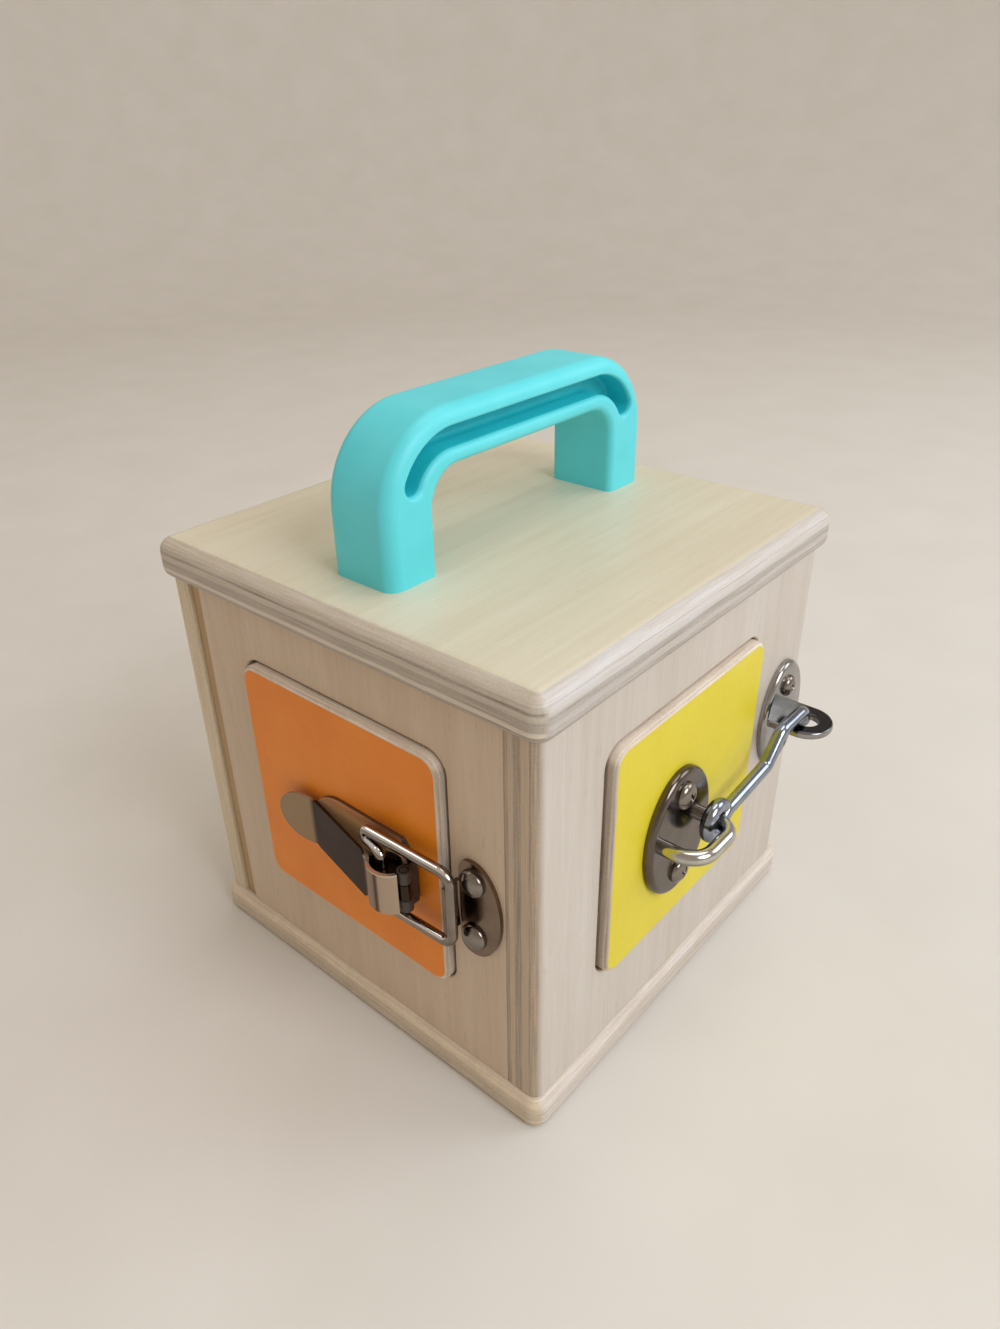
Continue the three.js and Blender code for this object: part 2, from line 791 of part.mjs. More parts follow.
// Bail: one bent wire whose two ends turn into the barrel
function latchBail() {
  const legY = orangeFace - bailLegRise;
  const hairpinY = orangeFace - hairpinRise;
  const hairpinX = barrel.x - hairpinReach;
  const outer = bailSpan / 2;
  const inner = bailReturnSpan / 2;
  const hairpinRadius = (outer - inner) / 2;
  const halfWire = (side) => [
    at(barrel.x, barrel.y, latchZ + side * bailEndDepth),
    at(barrel.x, barrel.y, latchZ + side * inner),
    at(hairpinX, hairpinY, latchZ + side * inner),
    at(hairpinX, hairpinY, latchZ + side * outer),
    at(bailLeg, legY, latchZ + side * outer),
  ];
  const radii = [bailEndRadius, hairpinRadius, hairpinRadius, bailLegRadius];
  const points = [...halfWire(1), ...halfWire(-1).reverse()];
  return wire(bentPath(points, [...radii, ...radii.toReversed()]), bailWireRadius);
}

// Keeper: a D-shaped plate with a lip that the bail pulls against
function keeper() {
  const flat = keeperFlatHeight / 2;
  const half = keeperHeight / 2;
  const roundX = lipLeft + keeperWidth - keeperRoundWidth;
  const outline = new THREE.Shape();
  outline.moveTo(lipRight, keeperZ - flat);
  outline.quadraticCurveTo(lipRight, keeperZ - half, roundX, keeperZ - half);
  outline.absellipse(roundX, keeperZ, keeperRoundWidth, half, -Math.PI / 2, Math.PI / 2);
  outline.quadraticCurveTo(lipRight, keeperZ + half, lipRight, keeperZ + flat);
  const plate = onFront(slab(outline, keeperThickness, 0, wideArcSegments), front);

  const lipTop = orangeFace - lipRise;
  const plateTop = front - keeperThickness;
  const bend = new THREE.Shape();
  bend.moveTo(roundX, front);
  bend.lineTo(lipLeft + lipBend, front);
  bend.quadraticCurveTo(lipLeft, front, lipLeft, front - lipBend);
  bend.lineTo(lipLeft, lipTop);
  bend.lineTo(lipRight, lipTop);
  bend.lineTo(lipRight, plateTop);
  bend.lineTo(roundX, plateTop);
  const lip = slab(bend, lipWidth).translate(0, 0, keeperZ - lipWidth / 2);
  return cut(join(plate, lip), ...plateHoles(keeperRivets, outFront, keeperThickness, shankRadius));
}

function hookPlate() {
  const outline = ellipse(hookPlateY, hookPlateZ, hookPlateWidth, hookPlateHeight);
  const plate = onRight(slab(outline, hookPlateThickness, plateEdgeRadius, roundSegments), yellowFace);
  return cut(
    solid(plate),
    ...plateHoles(hookScrews, outRight, hookPlateThickness, shankRadius),
    ...plateHoles(stapleLegs, outRight, hookPlateThickness, stapleWireRadius),
  );
}

function staple() {
  const root = yellowFace - stapleDepth;
  const end = yellowFace + stapleReach;
  const points = [
    at(root, stapleNear, stapleZ),
    at(end, stapleNear, stapleZ),
    at(end, stapleFar, stapleZ),
    at(root, stapleFar, stapleZ),
  ];
  return wire(bentPath(points, [stapleNearRadius, stapleFarRadius]), stapleWireRadius);
}

// Hook: a ring on the staple's far leg and a rod that rises, crests and turns down into the eye
function hook() {
  const crest = stapleZ + hookCrestRise;
  const tipZ = eyeTabTop - tipDepth + hookWireRadius;
  const points = [
    at(hookX, stapleFar + hookRingRadius, stapleZ),
    at(hookX, hookTipY - hookBendFromTip, stapleZ + hookWireRadius),
    at(hookX, hookTipY - hookCrestFromTip, crest),
    at(hookX, hookTipY, crest),
    at(hookX, hookTipY, tipZ),
  ];
  const stem = wire(bentPath(points, [hookBendRadius, hookBendRadius, hookTipRadius]), hookWireRadius);
  const ring = new THREE.TorusGeometry(hookRingRadius, hookWireRadius, wireSides, 2 * roundSegments)
    .rotateY(Math.PI / 2)
    .translate(hookX, stapleFar, stapleZ);
  const tip = new THREE.SphereGeometry(hookWireRadius, wireSides, wireSides / 2)
    .rotateX(Math.PI / 2)
    .translate(hookX, hookTipY, tipZ);
  return join(ring, stem, tip);
}

// Eye: an oval plate with a horizontal tab that the hook drops into
function eyePlate() {
  const outline = ellipse(eyeY, eyeZ, eyePlateWidth, eyePlateHeight);
  const plate = onRight(slab(outline, eyePlateThickness, plateEdgeRadius, roundSegments), right);
  const tabEnd = right + eyeTabReach;
  const tab = new THREE.Shape();
  tab.moveTo(right + plateEdgeRadius, eyeTabY - eyeTabRadius);
  tab.lineTo(tabEnd, eyeTabY - eyeTabRadius);
  tab.absarc(tabEnd, eyeTabY, eyeTabRadius, -Math.PI / 2, Math.PI / 2);
  tab.lineTo(right + plateEdgeRadius, eyeTabY + eyeTabRadius);
  const tabPlate = slab(tab, eyeTabThickness, eyeTabEdgeRadius, wideArcSegments)
    .translate(0, 0, eyeTabTop - eyeTabThickness);
  const half = at(0, 0, eyeTabThickness);
  return cut(
    join(plate, tabPlate),
    rod(eyeHole.clone().sub(half), eyeHole.clone().add(half), eyeHoleRadius),
    ...plateHoles(eyeScrews, outRight, eyePlateThickness, shankRadius),
  );
}

// Assembly: the fixed box
const fixedBox = new THREE.Group();
lockBox.add(fixedBox);
addPiece(fixedBox, 'base', coverPlate(baseOverhang, baseThickness, baseCornerRadius, baseEdgeRadius, 0), birch);
addPiece(fixedBox, 'front_panel', frontPanel(), birch);
addPiece(fixedBox, 'right_panel', rightPanel(), birch);
addPiece(fixedBox, 'back_panel', backPanel(), birch);
addPiece(fixedBox, 'left_panel', leftPanel(), birch);
addPiece(fixedBox, 'guide_rail_bottom', guideRail(wallBottom), birch);
addPiece(fixedBox, 'guide_rail_top', guideRail(wallTop - guideRailHeight), birch);
addPiece(fixedBox, 'lid', lid(), birch);
addPiece(fixedBox, 'handle', handle(), tealPlastic);
const handleScrew = domedFastener(
  handleScrewHead,
  handleScrewHeadHeight,
  handleShankRadius,
  lidThickness + handleScrewReach,
);
handleFeet.forEach((y, i) => {
  addFastener(fixedBox, `handle_screw_${['front', 'back'][i]}`, handleScrew, at(0, y, wallTop), down, steel);
});

addPiece(fixedBox, 'keeper', keeper(), nickel);
addPiece(fixedBox, 'eye_plate', eyePlate(), nickel);
const keeperRivet = domedFastener(
  keeperRivetHead,
  keeperRivetHeight,
  shankRadius,
  keeperThickness + shankReach,
);
const eyeScrew = crossHeadScrew(eyeScrewHead, eyeScrewHeight, shankRadius, eyePlateThickness + shankReach);
['top', 'bottom'].forEach((place, i) => {
  const rivetSeat = keeperRivets[i].clone().addScaledVector(outFront, keeperThickness);
  const screwSeat = eyeScrews[i].clone().addScaledVector(outRight, eyePlateThickness);
  addFastener(fixedBox, `keeper_rivet_${place}`, keeperRivet, rivetSeat, outFront);
  addFastener(fixedBox, `eye_screw_${place}`, eyeScrew, screwSeat, outRight);
});

// Assembly: the sliding panel
const slider = new THREE.Group();
lockBox.add(slider);
addPiece(slider, 'sliding_panel', slidingPanel(), birch);

// Assembly: the orange door with the toggle latch
const orangeLeaf = new THREE.Group();
lockBox.add(orangeLeaf);
addPiece(orangeLeaf, 'orange_door', orangeDoor(), orangePaint);
addPins(orangeLeaf, 'orange', orangeAxis);
addPiece(orangeLeaf, 'latch_base', latchBase(), nickel);
addPiece(orangeLeaf, 'latch_pivot_pin', upright(pivot, barrelLength, pivotPinRadius), steel);
const latchRivet = domedFastener(latchRivetHead, latchRivetHeight, shankRadius, sheetThickness + shankReach);
latchRivets.forEach((place, i) => {
  const seat = place.clone().addScaledVector(outFront, sheetThickness);
  addFastener(orangeLeaf, `latch_rivet_${['inner', 'outer'][i]}`, latchRivet, seat, outFront);
});
const toggle = new THREE.Group();
orangeLeaf.add(toggle);
addPiece(toggle, 'latch_lever', latchLever(), nickel);
addPiece(toggle, 'latch_bail', latchBail(), nickel);

// Assembly: the yellow door with the hook
const yellowLeaf = new THREE.Group();
lockBox.add(yellowLeaf);
addPiece(yellowLeaf, 'yellow_door', yellowDoor(), yellowPaint);
addPins(yellowLeaf, 'yellow', yellowAxis);
addPiece(yellowLeaf, 'hook_plate', hookPlate(), nickel);
addPiece(yellowLeaf, 'hook_staple', staple(), nickel);
const hookScrew = crossHeadScrew(hookScrewHead, hookScrewHeight, shankRadius, hookPlateThickness + shankReach);
['top', 'bottom'].forEach((place, i) => {
  const seat = hookScrews[i].clone().addScaledVector(outRight, hookPlateThickness);
  addFastener(yellowLeaf, `hook_screw_${place}`, hookScrew, seat, outRight);
});
addPiece(yellowLeaf, 'hook', hook(), nickel);

export default lockBox;
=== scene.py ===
import json
import math

import bmesh
import bpy
from mathutils import Matrix, Quaternion, Vector


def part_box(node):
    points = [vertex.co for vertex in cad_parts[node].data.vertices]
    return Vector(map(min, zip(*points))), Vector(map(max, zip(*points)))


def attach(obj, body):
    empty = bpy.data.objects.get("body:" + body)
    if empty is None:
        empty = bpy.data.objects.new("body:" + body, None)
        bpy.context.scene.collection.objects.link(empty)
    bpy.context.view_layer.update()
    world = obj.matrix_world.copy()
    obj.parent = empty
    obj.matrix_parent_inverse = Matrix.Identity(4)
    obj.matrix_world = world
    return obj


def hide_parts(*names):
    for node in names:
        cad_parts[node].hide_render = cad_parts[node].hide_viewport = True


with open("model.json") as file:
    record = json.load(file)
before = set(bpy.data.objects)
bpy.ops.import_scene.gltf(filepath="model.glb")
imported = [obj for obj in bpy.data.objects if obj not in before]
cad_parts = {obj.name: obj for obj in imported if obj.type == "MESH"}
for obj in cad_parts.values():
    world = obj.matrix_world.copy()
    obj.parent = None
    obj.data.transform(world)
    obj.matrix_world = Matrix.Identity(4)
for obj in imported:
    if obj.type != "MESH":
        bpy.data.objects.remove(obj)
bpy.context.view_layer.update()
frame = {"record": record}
scene = bpy.context.scene
scene.view_settings.view_transform = "Standard"

mm = 0.001
bodies = frame["record"]["behaviour"]["bodies"]
bodyOf = {node: body for body, nodes in bodies.items() for node in nodes}
slotOf = {part["node"]: part["material_slot"] for part in frame["record"]["subparts"]}

# Each side of the box as a working plane: across it, up it and out of it
sides = {
    "front": ((1, 0, 0), (0, 0, 1), (0, -1, 0)),
    "right": ((0, 1, 0), (0, 0, 1), (1, 0, 0)),
    "left": ((0, -1, 0), (0, 0, 1), (-1, 0, 0)),
    "back": ((-1, 0, 0), (0, 0, 1), (0, 1, 0)),
    "top": ((1, 0, 0), (0, 1, 0), (0, 0, 1)),
}


# Plane of a side, its origin raised outwards by so many millimetres
def facing(side, rise):
    across, up, out = (Vector(axis) for axis in sides[side])
    place = Matrix((across, up, out)).transposed().to_4x4()
    place.translation = out * rise * mm
    return place


# A CAD node's box in millimetres, seen on the plane of a side
def nodeBox(node, side):
    axes = Matrix(sides[side])
    corners = [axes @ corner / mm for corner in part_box(node)]
    return Vector(map(min, *corners)), Vector(map(max, *corners))


def asPiece(name, bm, place):
    bmesh.ops.recalc_face_normals(bm, faces=bm.faces)
    mesh = bpy.data.meshes.new(name)
    bm.to_mesh(mesh)
    bm.free()
    mesh.transform(Matrix.Scale(mm, 4))
    piece = bpy.data.objects.new(name, mesh)
    scene.collection.objects.link(piece)
    piece.matrix_world = place
    return piece


# Skin over a row of rings, closed at both ends
def loft(rings):
    bm = bmesh.new()
    rows = [[bm.verts.new(point) for point in ring] for ring in rings]
    for lower, upper in zip(rows, rows[1:]):
        for i in range(len(lower)):
            j = (i + 1) % len(lower)
            bm.faces.new((lower[i], lower[j], upper[j], upper[i]))
    bm.faces.new(rows[0][::-1])
    bm.faces.new(rows[-1])
    return bm


# Corners of a path or outline turned into arcs
def filleted(points, radii, stepAngle=12):
    points = [Vector(point).to_3d() for point in points]
    path = []
    for i, point in enumerate(points):
        if radii[i] == 0:
            path.append(point)
            continue
        before = (points[i - 1] - point).normalized()
        after = (points[(i + 1) % len(points)] - point).normalized()
        half = before.angle(after) / 2
        setback = radii[i] / math.tan(half)
        middle = point + (before + after).normalized() * radii[i] / math.sin(half)
        start = point + before * setback - middle
        axis = start.cross(point + after * setback - middle).normalized()
        sweep = math.pi - 2 * half
        steps = max(2, math.ceil(math.degrees(sweep) / stepAngle))
        path += [middle + Quaternion(axis, sweep * k / steps) @ start for k in range(steps + 1)]
    return path


def arcPoints(middle, radius, start, end, steps):
    turns = [math.radians(start + (end - start) * i / steps) for i in range(steps + 1)]
    return [(middle[0] + radius * math.cos(turn), middle[1] + radius * math.sin(turn)) for turn in turns]


def circlePoints(middle, radius, steps):
    return arcPoints(middle, radius, 0, 360 - 360 / steps, steps - 1)


# Outlines that can be asked for at any inset; a corner keeps the tightest bend, so that it doesn't fold over
tightestBend = 0.05


def roundedRect(low, high, radius, steps=8):
    def outline(inset):
        bend = max(radius - inset, tightestBend)
        reach = inset + bend
        points = []
        points += arcPoints((high[0] - reach, high[1] - reach), bend, 0, 90, steps)
        points += arcPoints((low[0] + reach, high[1] - reach), bend, 90, 180, steps)
        points += arcPoints((low[0] + reach, low[1] + reach), bend, 180, 270, steps)
        points += arcPoints((high[0] - reach, low[1] + reach), bend, 270, 360, steps)
        return points

    return outline


def oval(middle, width, height, steps=72):
    def outline(inset):
        turns = [2 * math.pi * i / steps for i in range(steps)]
        wide = width / 2 - inset
        tall = height / 2 - inset
        return [(middle[0] + wide * math.cos(t), middle[1] + tall * math.sin(t)) for t in turns]

    return outline


# Quarter round from a side wall to a face: how far in and how deep
def edgeSteps(radius, steps=6, spread=1.0):
    turns = [math.pi / 2 * i / steps for i in range(steps + 1)]
    return [(spread * radius * (1 - math.cos(turn)), radius * (1 - math.sin(turn))) for turn in turns]


# Plate with rounded edges, its face at height 0
def plate(outline, thickness, faceEdge, backEdge, spread=1.0):
    rings = []
    for inset, depth in reversed(edgeSteps(backEdge)):
        rings.append([(x, y, depth - thickness) for x, y in outline(inset)])
    for inset, depth in edgeSteps(faceEdge, spread=spread):
        rings.append([(x, y, -depth) for x, y in outline(inset)])
    return loft(rings)


# Cutter for a hole whose rims come out rounded
def holeCutter(outline, thickness, faceEdge, backEdge):
    over = 1
    rings = [[(x, y, -thickness - over) for x, y in outline(-backEdge)]]
    for inset, depth in reversed(edgeSteps(backEdge)):
        rings.append([(x, y, depth - thickness) for x, y in outline(-inset)])
    for inset, depth in edgeSteps(faceEdge):
        rings.append([(x, y, -depth) for x, y in outline(-inset)])
    rings.append([(x, y, over) for x, y in outline(-faceEdge)])
    return loft(rings)


# Straight bars: an outline in the plane's across and out directions carried up,
# or one in across and up carried out
def barUp(outline, low, high):
    return loft([[(p[0], up, p[1]) for p in outline] for up in (low, high)])


def barOut(outline, low, high):
    return loft([[(p[0], p[1], out) for p in outline] for out in (low, high)])


def evaluatedMesh(item):
    bpy.context.view_layer.update()
    depsgraph = bpy.context.evaluated_depsgraph_get()
    return bpy.data.meshes.new_from_object(item.evaluated_get(depsgraph), depsgraph=depsgraph)


def baked(piece):
    mesh = evaluatedMesh(piece)
    old = piece.data
    piece.modifiers.clear()
    piece.data = mesh
    bpy.data.meshes.remove(old)


def combined(piece, other, operation):
    step = piece.modifiers.new("joinery", "BOOLEAN")
    step.operation = operation
    step.object = other
    step.solver = "EXACT"
    baked(piece)
    bpy.data.objects.remove(other)


def cutBy(piece, bm):
    combined(piece, asPiece("cutter", bm, piece.matrix_world), "DIFFERENCE")


def joinedTo(piece, bm):
    combined(piece, asPiece("addition", bm, piece.matrix_world), "UNION")


def eased(piece, width, limit=30):
    bevel = piece.modifiers.new("edges", "BEVEL")
    bevel.width = width * mm
    bevel.segments = 2
    bevel.limit_method = "ANGLE"
    bevel.angle_limit = math.radians(limit)
    baked(piece)


def smoothed(piece, limit=35):
    piece.data.shade_smooth()
    piece.data.set_sharp_from_angle(angle=math.radians(limit))
    normals = piece.modifiers.new("normals", "WEIGHTED_NORMAL")
    normals.keep_sharp = True
    baked(piece)


# Bent round wire with domed or flat ends
wireLook = {"roundness": 7, "tipSteps": 8, "tipWidth": 0.06, "weld": 1e-7, "sharp": 50}


def bentWire(name, path, radius, place, domedEnd=False):
    curve = bpy.data.curves.new(name + "Path", "CURVE")
    curve.dimensions = "3D"
    curve.twist_mode = "MINIMUM"
    curve.bevel_depth = radius * mm
    curve.bevel_resolution = wireLook["roundness"]
    curve.use_fill_caps = True
    points = [Vector(point) for point in path]
    widths = [1.0] * len(points)
    if domedEnd:
        tip = points.pop()
        widths.pop()
        ahead = (tip - points[-1]).normalized()
        for i in range(wireLook["tipSteps"] + 1):
            turn = math.pi / 2 * i / wireLook["tipSteps"]
            points.append(tip - ahead * radius * (1 - math.sin(turn)))
            widths.append(max(math.cos(turn), wireLook["tipWidth"]))
    spline = curve.splines.new("POLY")
    spline.points.add(len(points) - 1)
    for target, point, width in zip(spline.points, points, widths):
        target.co = (*(point * mm), 1)
        target.radius = width
    drawn = bpy.data.objects.new(name + "Path", curve)
    scene.collection.objects.link(drawn)
    mesh = evaluatedMesh(drawn)
    bpy.data.objects.remove(drawn)
    bpy.data.curves.remove(curve)
    bm = bmesh.new()
    bm.from_mesh(mesh)
    bmesh.ops.remove_doubles(bm, verts=bm.verts, dist=wireLook["weld"])
    bmesh.ops.recalc_face_normals(bm, faces=bm.faces)
    bm.to_mesh(mesh)
    bm.free()
    piece = bpy.data.objects.new(name, mesh)
    scene.collection.objects.link(piece)
    piece.matrix_world = place
    smoothed(piece, wireLook["sharp"])
    return piece


# Hands a finished piece over: its finish and body, and hides the CAD node it stands for
def stand(piece, node, finish):
    piece.data.materials.clear()
    piece.data.materials.append(finish)
    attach(piece, bodyOf[node])
    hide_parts(node)
    print("made", piece.name)


# CAD solids that show as they are get a finish of their own
def coated(node, finish):
    bpy.data.objects[node].material_slots[0].material = finish


# Shader building blocks
def srgb(red, green, blue):
    values = [channel / 255 for channel in (red, green, blue)]
    return (*[v / 12.92 if v < 0.04045 else ((v + 0.055) / 1.055) ** 2.4 for v in values], 1)


def newFinish(name):
    finish = bpy.data.materials.new(name)
    finish.use_nodes = True
    return finish, finish.node_tree, finish.node_tree.nodes["Principled BSDF"]


def feed(tree, value, socket):
    if isinstance(value, bpy.types.NodeSocket):
        tree.links.new(value, socket)
    else:
        socket.default_value = value


def sums(tree, operation, first, second=0.0):
    step = tree.nodes.new("ShaderNodeMath")
    step.operation = operation
    feed(tree, first, step.inputs[0])
    feed(tree, second, step.inputs[1])
    return step.outputs[0]


# Mix of two colours; a Mix node has colours at sockets 6 and 7, and plain numbers at 2 and 3
def mixed(tree, share, first, second):
    step = tree.nodes.new("ShaderNodeMix")
    step.data_type = "RGBA"
    feed(tree, share, step.inputs[0])
    feed(tree, first, step.inputs[6])
    feed(tree, second, step.inputs[7])
    return step.outputs[2]


def ranged(tree, value, low, high, toLow=0.0, toHigh=1.0):
    step = tree.nodes.new("ShaderNodeMapRange")
    for socket, setting in zip(step.inputs, (value, low, high, toLow, toHigh)):
        feed(tree, setting, socket)
    return step.outputs[0]


# Sum of values, each times its share
def weighted(tree, *pairs):
    total = None
    for value, share in pairs:
        part = sums(tree, "MULTIPLY", value, share)
        total = part if total is None else sums(tree, "ADD", total, part)
    return total


def axesOf(tree, vector):
    step = tree.nodes.new("ShaderNodeSeparateXYZ")
    tree.links.new(vector, step.inputs[0])
    return step.outputs


# Object coordinates in millimetres, moved on by an offset so that no two boards match
def ownCoords(tree, offset):
    source = tree.nodes.new("ShaderNodeTexCoord")
    scaled = tree.nodes.new("ShaderNodeVectorMath")
    scaled.operation = "MULTIPLY_ADD"
    tree.links.new(source.outputs["Object"], scaled.inputs[0])
    scaled.inputs[1].default_value = (1 / mm, 1 / mm, 1 / mm)
    scaled.inputs[2].default_value = offset
    return scaled.outputs[0], source


def noise(tree, coords, stretch, detail=3.0, roughness=0.5, distortion=0.0):
    stretched = tree.nodes.new("ShaderNodeVectorMath")
    stretched.operation = "MULTIPLY"
    tree.links.new(coords, stretched.inputs[0])
    stretched.inputs[1].default_value = stretch
    step = tree.nodes.new("ShaderNodeTexNoise")
    tree.links.new(stretched.outputs[0], step.inputs["Vector"])
    step.inputs["Scale"].default_value = 1
    step.inputs["Detail"].default_value = detail
    step.inputs["Roughness"].default_value = roughness
    step.inputs["Distortion"].default_value = distortion
    return step.outputs[0]


def bumped(tree, shader, height, distance):
    step = tree.nodes.new("ShaderNodeBump")
    step.inputs["Strength"].default_value = 1
    step.inputs["Distance"].default_value = distance * mm
    feed(tree, height, step.inputs["Height"])
    tree.links.new(step.outputs[0], shader.inputs["Normal"])


# Plies by depth below the face: where each begins and how much end grain it shows on the edges that look
# across the board and on those that look up it
lidPlies = [
    (0, 0.04, 0.3), (2.2, 0.4, 0.36), (2.5, 0.02, 0.4), (3.5, 0.02, 0.9), (4.2, 0.06, 0.32),
    (4.7, 0.62, 0.34), (5.8, 0.66, 0.75), (6.8, 0.3, 0.7), (8.3, 0.58, 0.02), (9.5, 0.66, 0.8),
]
basePlies = [(0, 0.0, 0.06), (2.4, 0.16, 0.3), (4.6, 0.2, 0.42), (7.4, 0.3, 0.3), (9.4, 0.4, 0.5)]
wallPlies = [
    (0, 0.5, 0.05), (2.3, 0.8, 0.3), (2.75, 0.08, 0.4), (5.1, 0.68, 0.2), (7.3, 0.06, 0.45), (8.8, 0.66, 0.3),
]
doorPlies = [
    (0, 0.45, 0.02), (0.4, 0.7, 0.3), (0.75, 0.5, 0.05), (2.7, 0.7, 0.15),
    (4.6, 0.5, 0.4), (6.4, 0.7, 0.15), (8.2, 0.5, 0.3), (9.5, 0.7, 0.4),
]
plainEdge = [(0, 0.06, 0.06), (4.0, 0.12, 0.12)]

# Board tones: two for the face, flecks in it, then the long grain, end grain and pores of the plies' edges,
# and how much a surface leans over before it shows them; litAcrossEdge is painted light: a paler, cooler
# long grain for the edges that look across the board, standing in for the light and sheen on that side
birch = {
    "light": srgb(222, 212, 197),
    "dark": srgb(206, 192, 171),
    "fleck": srgb(182, 161, 134),
    "edge": srgb(222, 207, 187),
    "endGrain": srgb(178, 163, 146),
    "pore": srgb(118, 105, 91),
    "lean": (0.86, 0.995),
    "roughness": 0.42,
}
lidBirch = {
    **birch,
    "light": srgb(228, 221, 200), "dark": srgb(214, 203, 178), "fleck": srgb(196, 178, 146),
    "edge": srgb(222, 212, 200), "endGrain": srgb(184, 172, 160), "pore": srgb(124, 112, 101),
    "litAcrossEdge": srgb(213, 212, 216), "lean": (0.945, 0.972), "roughness": 0.38,
}
baseBirch = {**birch, "edge": srgb(244, 226, 200), "litAcrossEdge": srgb(232, 225, 220)}
# Painted light: shadedWarmBirch is a darker, warmer copy of the birch, standing in for shade on the front and
# back walls; litPaleBirch is a cooler copy for the right wall, which the key lamp lights
shadedWarmBirch = {
    **birch,
    "light": srgb(214, 193, 171), "dark": srgb(196, 171, 145), "fleck": srgb(166, 136, 108),
}
litPaleBirch = {
    **birch,
    "light": srgb(210, 203, 195), "dark": srgb(195, 184, 172), "fleck": srgb(176, 158, 141),
    "edge": srgb(208, 184, 156), "endGrain": srgb(180, 163, 144), "pore": srgb(116, 105, 94),
    "lean": (0.72, 0.999),
}
creamBirch = {**birch, "light": srgb(222, 208, 184), "dark": srgb(208, 190, 160), "edge": srgb(232, 216, 186)}
leafBirch = {
    **birch,
    "edge": srgb(248, 236, 224), "endGrain": srgb(160, 142, 124), "pore": srgb(116, 102, 90),
}
# Painted shade: the sliding panel's edge, seen down its slot, is a darker, browner tone
shadedSlotEdge = {**creamBirch, "edge": srgb(190, 158, 112), "fleck": srgb(166, 132, 88)}

# Noise in a board: scale per millimetre across, along and into it, then detail, roughness and distortion
boardNoise = {
    "fibre": ((2.4, 0.06, 2.4), 5, 0.6),
    "strand": ((0.3, 0.01, 0.3), 3, 0.55, 0.4),
    "cloud": ((0.03, 0.014, 0.03), 2),
    "dash": ((1.5, 0.2, 1.5), 2),
    "streak": ((0.05, 0.05, 2.6), 4, 0.6),
    "pores": ((1.9, 1.9, 1.9), 5, 0.7),
    "sway": ((0.06, 0.06, 0.06), 2),
    "roller": ((0.9, 0.9, 0.9), 4, 0.6),
    "mottle": ((0.05, 0.035, 0.05), 3),
}
# Values at which a reading starts and is full, and how much it then counts
boardSpan = {
    "fibre": (0.3, 0.7), "strand": (0.32, 0.68), "cloud": (0.3, 0.7), "dash": (0.64, 0.75),
    "edge": (0.38, 0.64), "combed": (0.42, 0.66, 0.0, 0.55), "lookingUp": (0.24, 0.43),
    "roller": (0.4, 0.7), "mottle": (0.3, 0.7),
}
boardShare = {
    "fibre": 0.36, "strand": 0.4, "cloud": 0.36, "dash": 0.34, "streak": 0.65, "pores": 0.35, "combed": 0.3,
}
# Depths in millimetres: half a glue line, the sway of the plies, the paint's film and the bump
boardDepth = {"glue": 0.13, "sway": 0.25, "paint": 0.05, "bump": 0.05}
boardGloss = {"smooth": -0.05, "rough": 0.08, "paint": -0.06, "paintGleam": 0.35}
boardRelief = {"fibre": -0.5, "endGrain": -0.6, "paintRoller": 0.9, "paintFibre": -0.3}
paintFlecks = 0.12
nearZero = 0.001


